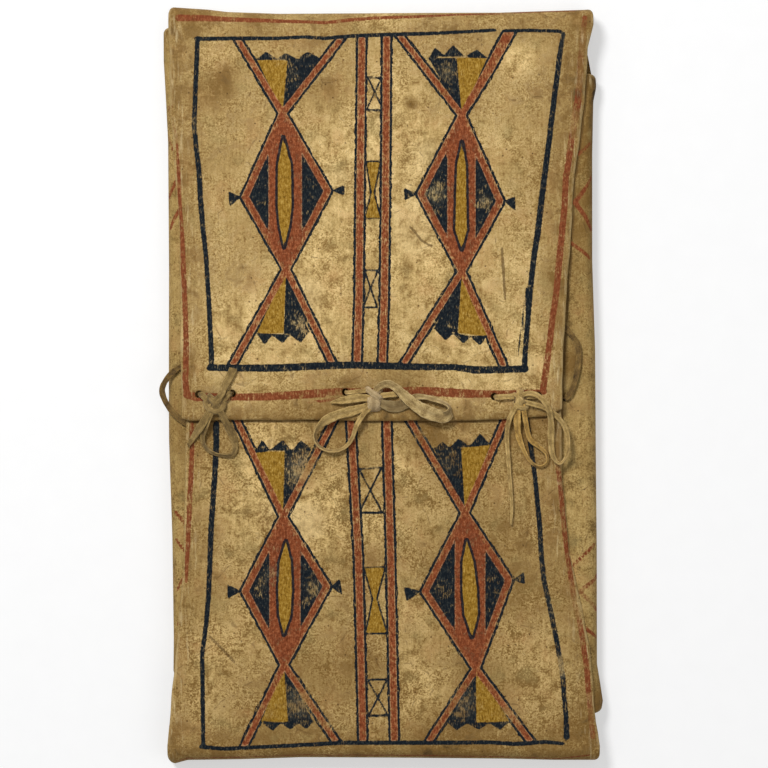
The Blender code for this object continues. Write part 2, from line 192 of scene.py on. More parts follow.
# How thick the bows' straps and the knots' wraps are, a side thong's width and thickness, and
# the least length of a cord in widths of it
STRAP = 1.7
WRAP = 2.3
SIDE_LACE = (2 * SIDE_THONG_R + 2.0, 2.0)
SHORTEST_IN_WIDTHS = 6.1

# A strap's section: the points round it, how flat and how round at its edges it is, its groove
# as (part of its thickness, part of its half width), and how much its lips curl
STRAP_SIDES = 16
FLATNESS = 0.7
EDGE_ROUNDNESS = 0.8
GROOVE = (0.22, 0.24)
CURL_OF_STRAP = 0.34
CURL_OF_WRAP = -0.5

# Along a strap: its steps, the waves of its width as (height, radians per mm, part of its seed),
# the share of it that a slanted cut draws, that slant, and how far its tips stand out. Where
# less of its way than STEEP is level, it keeps its heading.
STRAP_STEP = 1.5
STRAP_WAVES = ((0.05, 0.31, 1), (0.03, 0.83, 2))
CUT_SHARE = 0.1
SLANT = 0.45
TIP_OUT = 0.25
STEEP = 0.25

# What sets the waves and the grain of the ties, of a tie's straps and of the side thongs apart,
# and how far apart a whole one sets the grain
TIE_SEED = 1.7
STRAP_SEED = 0.6
SIDE_SEED = 5.0
SEED_APART = 97

# Inside a knot: how far its lump keeps from its faces and sides. At a hole: where a leg goes down
# from its middle, and how far off a strap turns. Behind the flap: a bight's gap, drop and width.
LUMP_CLEAR = 0.4
LUMP_IN = 1.2
LEG_OFF = (1.2, 0.5)
TURN_OFF = 2.2
BIGHT_GAP = 0.4
BIGHT_DROP = 1.4
BIGHT_WIDTH = 2 * BIGHT_R + 0.6

# The side thongs' height over their flap, how far one drops in its hole, and how far the other
# sags where it is furthest past the case
LACE_LIFT = SEAT + 0.2 + SIDE_THONG_R
LACE_DROP = 0.6
SAG = 2.0

# Each tie: its strap's width, its two holes, its knot as (X, Y, half lengths along X and Y), its
# legs as (X and Y where each meets the knot, width), the wraps of its knot and its loose straps.
# A wrap is (width, points from the knot's middle and over the hide). A strap is its route, as (X,
# Y, layers of strap under it), how it turns on edge, as (share of its length, degrees, part of its
# width), how it is darkened as painted shade, as (share, shade), a bare end's slant, and what its
# end is on.
TIES = {
    "left_tie": {
        "width": 5.4,
        "holes": [(-157.5, -8), (-128.5, -7.2)],
        "knot": (-143, -16, 8.2, 7.6),
        "legs": [(-149.7, -12.8, 5), (-136.3, -12.8, 5)],
        "wraps": [
            (
                5.4,
                [
                    (-8.2, 4.6, 1.4), (-6.8, -2, 4.4), (-0.6, -6.6, 5.9), (5.6, -3.8, 5),
                    (7.8, 3.6, 1.8),
                ],
            ),
            (5.6, [(-6.8, 7, 1.4), (-3.4, 4.6, 5.2), (0.8, -0.6, 6.6), (3.6, -5.4, 4.4)]),
            (4.8, [(6.6, 7.4, 1.4), (4, 3.8, 5), (0.6, -0.4, 6.2), (-3, -5.4, 3.8)]),
        ],
        "straps": {
            "short_tail": {
                "route": [
                    (-142.5, -14.5, 1.2), (-137.6, -7.4, 1.4), (-134.6, -0.5, 0.5), (-131.2, 6, 0),
                    (-127.4, 14.2, 0),
                ],
                "turns": [(0, 10, 0.9), (0.5, -10, 1.15), (1, -6, 1.32)],
                "shades": [(0, 0.1), (1, 0.1)],
                "slant": -0.15,
                "end": "bare",
            },
            "tail": {
                "route": [
                    (-145, -17, 0.9), (-149.4, -26, 0.5), (-155, -35, 0.1), (-161, -43.6, 0),
                    (-166.6, -52, 0),
                ],
                "turns": [(0, 0, 1.1), (0.4, 12, 1.3), (0.8, 8, 1.05), (1, 4, 0.6)],
                "end": "bare",
            },
            "loop": {
                "route": [
                    (-144.6, -19.4, 1), (-150.6, -34, 0), (-154, -44.5, 0), (-151.4, -53, 0),
                    (-144.6, -58.2, 0), (-136.4, -60.2, 0), (-129, -59.6, 0), (-126.2, -53.6, 0),
                    (-128.4, -43.5, 0), (-133.4, -33, 0.1), (-139.2, -21.4, 1.1),
                ],
                "turns": [
                    (0, 0, 0.9), (0.22, 16, 1), (0.36, 50, 0.85), (0.5, 52, 0.75), (0.62, 34, 0.95),
                    (0.74, 10, 1.2), (0.88, 0, 1.15), (1, 0, 0.95),
                ],
                "shades": [(0, 0.3), (0.3, 0), (0.6, 0.1), (0.8, 0.25), (1, 0.3)],
                "end": "object",
            },
        },
    },
    "centre_tie": {
        "width": 6.8,
        "holes": [(-31.5, -6), (14.5, -7.5)],
        "knot": (-7, -12.5, 7.2, 8.4),
        "legs": [(-12.4, -4.9, 3.8), (-1.3, -9.3, 5)],
        "wraps": [
            (
                11.6,
                [(0.4, 3.6, 3.4), (0.3, 1.4, 5.8), (0.1, -3.2, 7), (0, -7.2, 5.4), (0, -9.4, 1.8)],
            ),
            (
                5.6,
                [(-6.6, 9.6, 1), (-4.2, 7.8, 5.4), (0.4, 4.2, 7.6), (4.6, 1.4, 6.6), (7, 0, 2.6)],
            ),
            (4.4, [(6.6, 8.4, 1), (4.4, 7, 4.6), (1.4, 5.2, 5.4), (-2, 3.4, 4.8)]),
        ],
        "straps": {
            "tail": {
                "route": [
                    (-7.4, -12.4, 1), (-15.6, -10.8, 1.2), (-24, -11.4, 1.15), (-33, -13, 0.9),
                    (-44, -14.8, 0.1),
                ],
                "turns": [(0, 0, 0.75), (0.35, -8, 1.1), (0.75, -6, 0.9), (1, 0, 0.2)],
                "end": "bare",
            },
            "left_loop": {
                "route": [
                    (-9.4, -17.4, 0.6), (-26, -22.2, 0), (-40, -26, 0), (-52, -33, 0),
                    (-58, -43, 0), (-54.5, -52.5, 0), (-44.5, -57, 0), (-33, -54.6, 0),
                    (-25.6, -46.4, 0), (-21.6, -35, 0), (-16, -25.4, 0.2), (-9, -17.8, 1),
                ],
                "turns": [
                    (0, 0, 0.9), (0.15, -12, 1.3), (0.3, -22, 1.25), (0.4, -66, 0.9),
                    (0.55, -70, 0.8), (0.7, -58, 0.75), (0.85, -34, 0.7), (1, 0, 0.7),
                ],
                "end": "object",
            },
            "right_loop": {
                "route": [
                    (-6.4, -8.2, 1.2), (-3.4, -2, 1.5), (4.4, 1.5, 1.5), (12.4, -2.4, 1.6),
                    (20, -9.8, 1.6), (29.5, -17.8, 1.5), (40, -23.6, 1.2), (50, -26.6, 0.9),
                    (54.6, -26.4, 0.8), (57.3, -23.2, 0.7), (57.2, -19.2, 0.4), (53.4, -15.8, 0.1),
                    (46, -13, 0), (37.5, -10.8, 0), (29.5, -10.6, 0), (21.5, -15.4, 0),
                    (12, -18.6, 0), (3, -17, 0.5), (-5, -13.6, 1),
                ],
                "turns": [
                    (0, 0, 0.8), (0.1, 24, 0.95), (0.2, 10, 1.15), (0.3, 2, 1.5), (0.42, 4, 1.75),
                    (0.49, 8, 1.65), (0.515, 34, 1.5), (0.54, 76, 1.1), (0.575, 66, 1),
                    (0.64, 52, 0.95), (0.72, 46, 0.95), (0.79, 14, 1.1), (0.85, -4, 1.5),
                    (0.93, 0, 1.3), (1, 0, 0.9),
                ],
                "shades": [(0, 0), (0.3, 0), (0.6, 0.1), (0.78, 0.5), (0.84, 1), (1, 0.9)],
                "end": "object",
            },
        },
    },
    "right_tie": {
        "width": 4.6,
        "holes": [(96.5, -10), (134, -9)],
        "knot": (118.5, -13, 6.6, 8),
        "legs": [(113.4, -9.8, 5), (123.6, -9.8, 5)],
        "wraps": [
            (7, [(0.4, 9, 0.8), (0, 6.4, 4.6), (-0.6, 0, 6.2), (-0.4, -6, 4.2), (-0.2, -8.8, 0.9)]),
            (4.2, [(-5.4, -1, 1.6), (-2.2, -5.4, 5.2), (2.8, -6.8, 5.4), (6.8, -4.6, 1.8)]),
            (4, [(-5.8, 5.4, 1.4), (-2.4, 3.6, 5.4), (1.6, -0.6, 6.8), (5.4, -2.6, 3)]),
        ],
        "straps": {
            "tail": {
                "route": [
                    (117, -14.2, 1), (113.2, -21.2, 0.8), (109.2, -30, 0), (107.4, -43, 0),
                    (108.6, -62, 0), (110.4, -84, 0), (111.8, -104, 0), (111, -120, 0),
                ],
                "turns": [
                    (0, 0, 0.9), (0.2, 24, 0.95), (0.5, 34, 0.85), (0.8, 30, 0.65), (1, 20, 0.42),
                ],
                "end": "bare",
            },
            "inner_loop": {
                "route": [
                    (116.8, -15.8, 0.8), (116, -29, 0.2), (116.8, -41, 0), (120.6, -52.5, 0),
                    (126.6, -64, 0), (134.4, -69.6, 0), (141.2, -66.6, 0), (141, -59.4, 0),
                    (134, -52.8, 0), (127, -46.6, 0), (124, -36, 0.3), (120.6, -16.6, 1),
                ],
                "turns": [
                    (0, 0, 0.9), (0.12, 8, 1.35), (0.22, 24, 1.25), (0.36, 44, 0.9),
                    (0.48, 62, 0.78), (0.6, 50, 0.85), (0.75, 20, 1), (1, 0, 0.9),
                ],
                "end": "object",
            },
            "outer_loop": {
                "route": [
                    (119.6, -8.8, 1.4), (125.6, -7, 1.7), (132.4, -8.6, 1.8), (138.8, -14.4, 1.8),
                    (143.2, -22.6, 1.5), (144.9, -33, 0.5), (145, -47, 0), (146.4, -60.5, 0),
                    (152.6, -67.8, 0), (158.8, -61, 0), (160.2, -49, 0), (157.6, -37, 0),
                    (151.4, -28, 0), (143.5, -21.6, 0.2), (135, -17.8, 0.6), (120.6, -14.2, 1),
                ],
                "turns": [
                    (0, 0, 0.9), (0.15, -20, 1.05), (0.32, -8, 1.3), (0.42, -24, 1.2),
                    (0.52, -64, 0.8), (0.6, -44, 0.9), (0.74, -20, 1), (1, 0, 0.9),
                ],
                "end": "object",
            },
        },
    },
}

# The side thongs' routes, as (X, Y)
SIDE_THONGS = {
    "right_side_thong": [
        (150, 57), (158, 49), (163.6, 42.4), (168.4, 34), (169.4, 24.5), (168.2, 13.5), (166, 3),
        (162.6, -6), (158.4, -11.4),
    ],
    "left_edge_thong": [
        (-156, 18.5), (-166, 17.5), (-175, 15), (-184, 7), (-189.4, -3.5), (-186.6, -14),
        (-180, -23.5), (-171, -31.5), (-160, -37),
    ],
}

# The painted pattern, in sheet coordinates. Each motif is two red arms that cross twice round a
# diamond, with a toothed foot above and below. The two colours of a foot meet at its middle. The
# bars are the X of the column round its lens, and the tips the wide ends of the left and of the
# right side's blue tip. A broad stroke, as (X, Y, width), goes over an arm painted wider.
MOTIFS = {
    "upper_left": {
        "top": [(-123.8, 297.1), (-35.3, 298.4)],
        "cross": [(-85.6, 233.9), (-82.4, 99.5)],
        "side": [(-117.7, 161.9), (-47, 167)],
        "bottom": [(-126.8, 20.2), (-43.2, 20.2)],
        "teeth_up": [
            (-107.5, 280.4), (-99.8, 287.2), (-91.2, 280.8), (-82.7, 285.9), (-73.1, 280.4),
            (-64.1, 287.2), (-52.5, 280.8),
        ],
        "teeth_down": [
            (-107.4, 44.1), (-100.8, 34.2), (-94.3, 43), (-85.4, 35.6), (-78.9, 43), (-69.6, 36.3),
            (-62.8, 45.6),
        ],
        "middle": [(-81.3, 279.2), (-84.3, 44.7)],
        "bars": (-94.5, -72.1),
        "lens": [
            (-84.9, 213.3), (-89.6, 189.2), (-89.8, 154.8), (-88.2, 137.6), (-84.4, 118.2),
            (-79.5, 137.6), (-77.7, 154.8), (-78.3, 189.2),
        ],
        "tips": [(-132.1, 166.6), (-131.5, 153.3), (-32.2, 172.6), (-32.2, 163.1)],
    },
    "upper_right": {
        "top": [(17.2, 298.4), (109, 303.6)],
        "cross": [(68.6, 232.2), (68.5, 97.6)],
        "side": [(33.5, 164.3), (101.3, 158.2)],
        "bottom": [(19.2, 19.4), (103.5, 18.3)],
        "teeth_up": [
            (40.2, 281.2), (45.8, 290.5), (53.4, 284), (61.1, 292.7), (71, 282.9), (82, 288.9),
            (90.2, 281.7),
        ],
        "teeth_down": [
            (44.7, 48.5), (54.5, 38.1), (61.1, 44.1), (69.9, 35.3), (75.9, 41.4), (84.1, 33.7),
            (90.3, 41.9),
        ],
        "middle": [(64.2, 281.6), (65, 44.7)],
        "bars": (59.3, 77.3),
        "lens": [
            (68.8, 209.3), (64.5, 189.2), (63.6, 159.1), (63, 133.3), (68.5, 116.5), (73.1, 133.3),
            (72.6, 159.1), (72.2, 189.2),
        ],
        "tips": [(18.9, 169.9), (19.4, 158.6), (114.4, 162.5), (115, 149.8)],
        "broad": [(110.2, 305, 8.2), (91.6, 270.8, 7.6), (74.4, 242.2, 6)],
    },
    "lower_left": {
        "top": [(-125.6, -28.4), (-40.4, -28.4)],
        "cross": [(-85.1, -113.1), (-84.3, -240.8)],
        "side": [(-117.8, -177.2), (-47.7, -173.3)],
        "bottom": [(-118.2, -309.6), (-40, -306.2)],
        "teeth_up": [
            (-109, -57.6), (-103, -46.7), (-96.4, -56), (-85.4, -47.2), (-77.4, -56.3),
            (-69.6, -47.2), (-61.1, -54.6),
        ],
        "teeth_down": [
            (-104.1, -289.8), (-93.9, -297.6), (-86.9, -290.7), (-79.1, -296.7), (-71.8, -291.1),
            (-65.1, -296.4), (-59.3, -289.8),
        ],
        "middle": [(-83.6, -56.9), (-80.8, -290.2)],
        "bars": (-93.8, -73.3),
        "lens": [
            (-82.7, -134.2), (-88.2, -152.2), (-89.4, -176.3), (-88.6, -197.8), (-84.3, -215),
            (-78.7, -197.8), (-77.4, -176.3), (-78.3, -152.2),
        ],
        "tips": [(-132.9, -171.7), (-132.9, -184.2), (-36.3, -166.7), (-34, -180.8)],
    },
    "lower_right": {
        "top": [(22.9, -28.4), (106.2, -28.4)],
        "cross": [(71.3, -110.1), (80.8, -244.2)],
        "side": [(37.2, -177.6), (109, -167.7)],
        "bottom": [(41.3, -305.3), (126.8, -305.3)],
        "teeth_up": [
            (44.7, -54.7), (51.8, -48.8), (58.5, -53.8), (65.5, -46), (75.7, -52.5), (84.1, -41.7),
            (92.9, -50.7),
        ],
        "teeth_down": [
            (55.9, -290.2), (64.2, -297.1), (73.1, -291.1), (83.4, -296.7), (92, -291.1),
            (101.5, -296.7), (110.1, -289.8),
        ],
        "middle": [(67.9, -53.8), (81.1, -290.7)],
        "bars": (65.8, 85.7),
        "lens": [
            (72.8, -133.3), (69.2, -152.2), (69.1, -176.3), (71, -197.8), (77.4, -217.2),
            (82.6, -197.8), (81.7, -176.3), (78.7, -152.2),
        ],
        "tips": [(18.7, -173.4), (21, -185.8), (122.1, -160.8), (123.2, -171.5)],
    },
}
# The ladder between the motifs: its rails, crossed boxes and hourglasses
UPPER_RAILS = [
    [(-17.3, 301.9), (-18.9, 167.7), (-19.8, 73.1), (-21.5, 17.2)],
    [(4, 302.7), (3, 167.7), (1.9, 73.1), (0.3, 17.2)],
]
LOWER_RAILS = [
    [(-27, -28.4), (-20.2, -150.5), (-16.5, -306.2)],
    [(4.1, -28.4), (7.5, -150.5), (10.6, -306.2)],
]
UPPER_BOXES = [
    [(-12.4, 264.9), (-0.3, 264.4), (1.3, 236.2), (-13.5, 236.5)],
    [(-15.1, 98.4), (-3.6, 98.4), (-4.1, 66.9), (-16.3, 66.9)],
]
LOWER_BOXES = [
    [(-20, -71.9), (-0.3, -71), (0.2, -109.6), (-19.8, -109.9)],
    [(-12.3, -253.7), (4.6, -253.3), (5.2, -284.3), (-11.7, -284.7)],
]
UPPER_HOURGLASS = [
    (-14, 192.6), (-0.9, 192.8), (-6.6, 165.1), (-0.9, 143.1), (-15.1, 143.1), (-9.5, 165.1),
]
LOWER_HOURGLASS = [
    (-15.7, -157.4), (2.9, -156.5), (-4.3, -184), (4.6, -213.8), (-14.3, -213.8), (-8.2, -184),
]
# The frames, as strokes of (X, Y, width)
UPPER_RED = [
    [
        (-175.5, 315.2, 5.2), (-150.5, 315.6, 5.2), (-109.2, 314.8, 4.4), (-70.5, 313.3, 3.4),
        (-49, 312.2, 3), (-26.7, 315.2, 3.9), (-5.2, 317.6, 3.9), (28.4, 318.9, 3.9),
        (61.1, 321.6, 3), (101.5, 323.4, 2.6), (123.8, 325.1, 2.4), (166, 325.4, 2.4),
    ],
    [
        (-180.6, 240.8, 1.2), (-182.3, 227.9, 1.4), (-177.2, 216.7, 1.7), (-174.8, 176.3, 2.9),
        (-173.7, 148.8, 3.4), (-172, 127.3, 3.8), (-170.8, 99.8, 4.3), (-168.8, 55.9, 4.3),
        (-168.2, 33.5, 4.7), (-168.8, 4.3, 5.2), (-167.7, -7.7, 5.2),
    ],
    [
        (174.6, 315.8, 4.3), (172.9, 300.1, 4.3), (171.1, 282.1, 5.2), (170.3, 265.7, 5.2),
        (168.6, 243.4, 6), (165.5, 227, 6), (163.7, 215, 5.2), (158.2, 177.2, 5.2),
        (157.2, 154.8, 5.2), (152.2, 104.9, 5.6), (149.6, 77.4, 5.2), (146.2, 55.9, 5.2),
        (143.6, 33.5, 5.2), (140, 7.7, 5.6), (138, -5.2, 5.2),
    ],
    [
        (-167.7, -8.6, 6), (-159.1, -10.3, 6.9), (-128.1, -10.3, 6), (-100.6, -10, 6.5),
        (-79.1, -8.9, 6.9), (-56.8, -7.2, 7.3), (-35.3, -5.6, 6), (-6, -5.2, 4.3), (28.4, -5, 6.9),
        (49.9, -6, 7.7), (71.4, -7.3, 7.3), (92.9, -7.7, 6), (114.4, -6, 3.4), (139.3, -6, 4.3),
    ],
    [(-64.5, -14.6, 1), (-50, -13.6, 2.6), (-36, -11, 2)],
]
UPPER_BLUE = [
    [
        (-160, 298, 3.4), (-122.1, 298.4, 3.4), (-89.4, 298.4, 3.1), (-67.9, 299.6, 2.9),
        (-49, 298.4, 3.1), (-26.7, 300.4, 3.3), (6, 301.7, 3.4), (39.6, 302.5, 3.1),
        (72.2, 304.1, 2.8), (97.2, 305.5, 2.8),
    ],
    [(105.8, 304.8, 2.7), (127.3, 305.3, 2.8), (152.8, 304.6, 2.8), (156.4, 302.2, 2.4)],
    [
        (-158.8, 298.4, 4), (-160.6, 254.6, 4.1), (-161.7, 223.6, 4.1), (-159.4, 199.5, 4.3),
        (-157.4, 183.2, 4.5), (-156.2, 159.1, 4.6), (-153.9, 132.4, 4.3), (-151.4, 110.9, 4),
        (-148.5, 66.2, 4), (-146.3, 23.2, 4.5), (-147.1, 14.6, 4.3),
    ],
    [
        (156, 302.4, 3.4), (152.6, 282.1, 4.6), (150.5, 263.2, 4.7), (148.4, 248.5, 4.8),
        (144.5, 215.9, 4.7), (142.4, 199.5, 4.8), (136.7, 154.8, 5.3), (134.2, 132.4, 5.2),
        (130.7, 110.9, 4.9), (128.1, 88.6, 4.7), (124.3, 44.7, 4.4), (123, 28.4, 4.5),
        (122.1, 12.9, 4.8),
    ],
    [(124.3, 83.4, 1.4), (120, 51.6, 1.4), (116.6, 25.8, 1.2)],
    [
        (-147.9, 15, 5.5), (-122.1, 14.6, 6), (-89.4, 14.6, 6.4), (-56.8, 16.3, 6.2),
        (-27.5, 17.2, 6), (-5.5, 16.7, 6.2), (28.4, 15.6, 5.7), (61.1, 15.5, 5.2), (80, 12.9, 6.5),
        (101.5, 13.2, 6), (123, 13.9, 6),
    ],
]
LOWER_RED = [
    [
        (-163.4, -33.5, 3.4), (-163.4, -57.6, 3.8), (-164.4, -80, 4.3), (-165.6, -101.5, 4.3),
        (-166.6, -129, 4), (-167.9, -150.5, 3.4), (-168.6, -169.4, 2.6),
    ],
    [
        (150.9, -66.2, 4.3), (153.9, -90.3, 4.3), (155.7, -112.7, 4.3), (159.1, -141.9, 4.3),
        (165.1, -184, 4), (170.3, -204.7, 4.3), (176, -240.8, 4.6), (177.2, -258, 4.6),
        (181.5, -302.7, 4.3),
    ],
    [
        (-178, -323.3, 1.4), (-70.5, -321.1, 1.2), (41.3, -321.1, 1.4), (153.1, -323.3, 1.2),
        (178.9, -318.8, 1.4),
    ],
]
LOWER_BLUE = [
    [
        (-142.5, -33.5, 5.2), (-142.5, -52.5, 5.2), (-143.6, -74, 4.8), (-147.1, -123.8, 4.8),
        (-149.2, -178.9, 4.3), (-150.9, -201.2, 4), (-154.8, -232.2, 3.8), (-154.4, -262.3, 3.8),
        (-153.9, -308.7, 3.4),
    ],
    [
        (124.3, -29.2, 4), (129, -60.2, 4.1), (131.6, -80, 4), (135.9, -123.8, 4.3),
        (137, -146.2, 4.3), (139.3, -167.7, 4.3), (146.6, -201.2, 4.3), (153.4, -236.5, 4.3),
        (155.7, -252, 4.3), (156.8, -269.2, 4), (158.5, -286.4, 4.2), (158.9, -303, 5.2),
    ],
    [
        (-155.7, -311.3, 3.4), (-135.9, -313.1, 3.4), (-98, -311.3, 3.4), (-63.6, -309.6, 3.6),
        (-36.1, -307.9, 3.6), (58.5, -307.9, 3.6), (92.9, -307.5, 3.4), (115.2, -309, 3.6),
        (140.8, -307.2, 3.4), (156.2, -308.6, 3),
    ],
]
SIDE_RED = {
    "right": [
        [
            (182.7, 209, 3), (169.4, 199.5, 3), (115.8, 157.4, 3), (164.3, 121.3, 3),
            (181.4, 109.2, 3),
        ],
        [(184.1, 179.7, 3.4), (166, 157.4, 3.9), (184.1, 134.2, 3.9)],
        [
            (182.7, -137.6, 3), (165.1, -154.8, 3), (143.2, -178, 3), (176, -210.7, 3),
            (186, -218, 2.6),
        ],
        [(190.3, -162.5, 3.4), (169.8, -177.6, 3.4), (186, -193.9, 3.4)],
    ],
    "left": [
        [(-186, 213.3, 3.1), (-169.4, 187.5, 3.1), (-186, 161.7, 3.1)],
        [(-184.1, 239.9, 3.1), (-152.2, 187.5, 3.1), (-184.1, 135, 3.1)],
        [
            (-179.6, -109.2, 3.4), (-170.5, -117.8, 3.4), (-139.3, -148.8, 3.4),
            (-168.6, -193.5, 3.1), (-177.3, -206.4, 3.1),
        ],
        [
            (-179.2, -133.3, 3.1), (-172.9, -139.3, 3.1), (-160, -152.2, 3.1),
            (-173.7, -170.3, 2.6), (-178.2, -176.3, 2.6),
        ],
    ],
}

# Widths of the painted lines, how far the arms and bars reach past their points, and the gap
# between an arm and a blue tip
ARM_WIDTHS = (4.4, 5.4, 5.8, 5.4, 4.8)
RAIL_WIDTH = 5.8
THIN_LINE = 1.6
TOOTH_LINE = 1.5
ARM_REACH = 6.0
COLUMN_REACH = 3.1
TIP_GAP = 3.4

# Soft spots of dirt, or of cleaner hide where the strength is negative, as (X, Y, radius,
# strength). Some dark spots round the centre bow are painted shade, and one beside the right side
# thong is dirt and painted shade. Inside the folds' mouths the darkness is painted shade, and over
# the end folds the hide is darker.
UPPER_DIRT_AND_SHADE = [
    (-147, 263, 12, 0.42), (-134, 262, 11, 0.3), (-142, 250, 11, 0.3), (-127, 272, 7, 0.22),
    (24.9, 242.5, 5, 1.2), (41, 236, 9, 0.22), (-128, 90, 30, 0.16), (55, 70, 22, 0.1),
    (-178, 20, 18, 0.3), (-135, 235, 55, 0.3), (-120, 125, 34, 0.2), (135, 150, 50, 0.24),
    (-50, 286, 40, 0.28), (60, 285, 50, 0.26), (-152, 190, 26, 0.26), (14, 185, 52, -0.24),
    (28, 130, 36, -0.42), (-58, 100, 32, -0.2), (155, 125, 45, -0.2), (-178, 200, 40, -0.25),
    (-124, 40, 30, -0.36), (-40, 255, 22, 0.24), (42, 200, 18, -0.3), (0, 240, 24, -0.4),
    (-40, 180, 20, -0.3), (-67, 45, 32, -0.34), (70, 42, 24, -0.26), (150, 266, 34, 0.34),
    (125, 316, 18, 0.26), (-150, 316, 16, 0.2), (126, 14, 24, -0.55), (0, -20, 30, 0.2),
    (-148, -14, 20, 0.2), (2, 318, 24, -0.3), (-52, 2, 32, 0.36), (14, -13, 16, 0.3),
    (-118, 16, 18, 0.2), (38, -28, 11, 0.4), (30, -2, 18, 0.35), (-28, -3, 13, 0.35),
    (146, 94, 15, 0.35), (-66, 78, 18, -0.3), (-16, 86, 14, 0.4), (-176, 42, 16, -0.5),
    (75, 238, 26, 0.22), (130, 238, 22, 0.16), (170, 238, 18, 0.24), (-156, 318, 16, 0.2),
    (-108, 318, 16, 0.3), (72, 282, 14, 0.15), (118, 280, 15, -0.4), (4, 10, 14, 0.25),
]
LOWER_DIRT = [
    (112, -118, 42, 0.3), (-60, -305, 60, 0.3), (45, -262, 26, -0.3), (165, -215, 30, 0.1),
    (-168, -252, 26, -0.12), (10, -48, 60, 0.2), (-150, -90, 30, 0.14), (-144, -38, 32, 0.5),
    (-39, -40, 24, 0.4), (80, -40, 36, 0.4), (130, -46, 22, 0.5), (95, -155, 50, 0.3),
    (-140, -180, 28, 0.26), (-45, -232, 34, 0.28), (-105, -268, 44, 0.28), (-12, -233, 18, 0.36),
    (128, -182, 26, 0.3), (15, -150, 30, 0.1), (-168, -96, 22, -0.3), (-95, -118, 36, -0.3),
    (70, -238, 50, 0.16), (-95, -54, 30, -0.25), (-150, -128, 22, 0.26), (-66, -42, 30, 0.1),
    (-40, -96, 24, -0.14), (98, -95, 22, -0.1), (46, -318, 24, 0.5), (142, -318, 36, 0.4),
    (-150, -318, 24, 0.3), (168, -288, 20, 0.2), (72, -248, 34, 0.26), (76, -286, 30, 0.3),
    (-12, -256, 26, 0.2), (72, -318, 50, 0.24), (-14, -318, 20, 0.3), (-12, -152, 20, 0.3),
    (43, -150, 18, 0.3), (38, -41, 15, 0.6), (58, -37, 7, -0.25), (74, -46, 7, -0.25),
    (-62, -160, 22, 0.28), (-24, -157, 14, 0.2), (-66, -82, 12, 0.25), (-66, -120, 20, -0.6),
    (72, -76, 18, 0.5), (-150, -68, 14, -0.3), (15, -68, 13, -0.3), (-110, -142, 20, 0.25),
    (-97, -108, 15, -0.1), (-12, -124, 13, -0.35), (-26, -190, 18, 0.3), (98, -38, 12, -0.1),
    (178, -288, 14, 0.3),
]
SIDE_DIRT_AND_SHADE = [
    (182, 190, 95, 0.62), (181, 266, 26, 0.35), (181, -100, 60, -0.1), (186, -288, 26, 0.5),
    (160, 20, 15, 0.45), (-178, -44, 26, 0.3),
]
# Painted shade on the back's inner face, dark inside the mouths of the folds
MOUTH_SHADE = [(181, 280, 15, 1.5), (184, -297, 13, 1.5), (-184, 312, 8, 1.5)]

# Each sheet's dirt, as (all over, more at its edges), dirt over the end folds with where it
# begins along the hide and over what reach, and dirt on the inner faces and the cut edges
SHEET_DIRT = {"upper": (0.2, 0.5), "lower": (0.2, 0.3), "sides": (0.3, 0.3), "back": (0.34, 0.0)}
FOLD_DIRT = 0.2
FOLD_DIRT_FROM = 284.0
FOLD_DIRT_REACH = 22.0
INNER_DIRT = 0.15
EDGE_DIRT = 0.3

# The dark lines painted on the hide under the upper flap's free end and its right edge as their
# shadows, as (how far from the flap, width)
SHADOW_LINE_BY_END = (0.9, 1.5)
SHADOW_LINE_BY_EDGE = (1.0, 1.4)

# Old scratches, as strokes of (X, Y, width)
SCARS = [
    [(103.2, 117.8, 0.5), (104.3, 99.6, 1.1), (105.6, 73.8, 0.5)],
    [
        (24.1, 135.9, 0.6), (28.4, 131.6, 0.5), (33.5, 124.7, 0.4), (39.6, 120.8, 0.5),
        (43.9, 119.5, 0.5),
    ],
    [(-148.8, -215.9, 0.9), (-138.5, -226.2, 1.2), (-127.3, -238.2, 0.9)],
]

# Soft spots where the paint has worn
WORN = [
    (-68, -72, 16, 1), (55, -68, 16, 0.45), (46, 165, 12, 0.7), (88, 158, 9, 0.6),
    (-70, 52, 10, 0.55), (-88, 283, 10, 0.5), (-92, -160, 10, 0.6), (138, -165, 60, 0.35),
    (175, 296, 20, 1.1), (170, 262, 14, 0.9), (164, 226, 14, 0.9), (155, -243, 10, 1.2),
    (166, -190, 16, 0.8), (180, -285, 18, 0.8), (-180, 225, 20, 0.9), (110, 322, 8, 0.8),
    (-40, -14, 14, 0.7), (152, -60, 20, 0.8), (-71, -274, 17, 0.75), (69, -274, 17, 0.7),
    (-57, -176, 12, 0.6), (-103, -172, 9, 0.4), (49, -176, 10, 0.3), (56, 269, 11, 0.6),
    (-98, -282, 9, 0.6), (108, -284, 12, 0.7), (-44, -290, 10, 0.7), (37, -41, 11, 0.9),
    (-76, 266, 9, 0.4), (-157, -100, 14, 0.5),
]

# The camera, the lamps and the world's light
CAMERA_AT = (1.7, 0.9, 3027.0)
SENSOR = 36.0
LENS = 163.5
LAMPS = (("key", (-0.9, 1.4, 2.2), 0.8, 52.0), ("fill", (1.5, -0.8, 2.2), 2.0, 8.0))
WORLD_LIGHT = 0.33
FLOOR_HALF = 6.0
FLOOR_AT = -0.0002
FLOOR_GLOW = 0.46

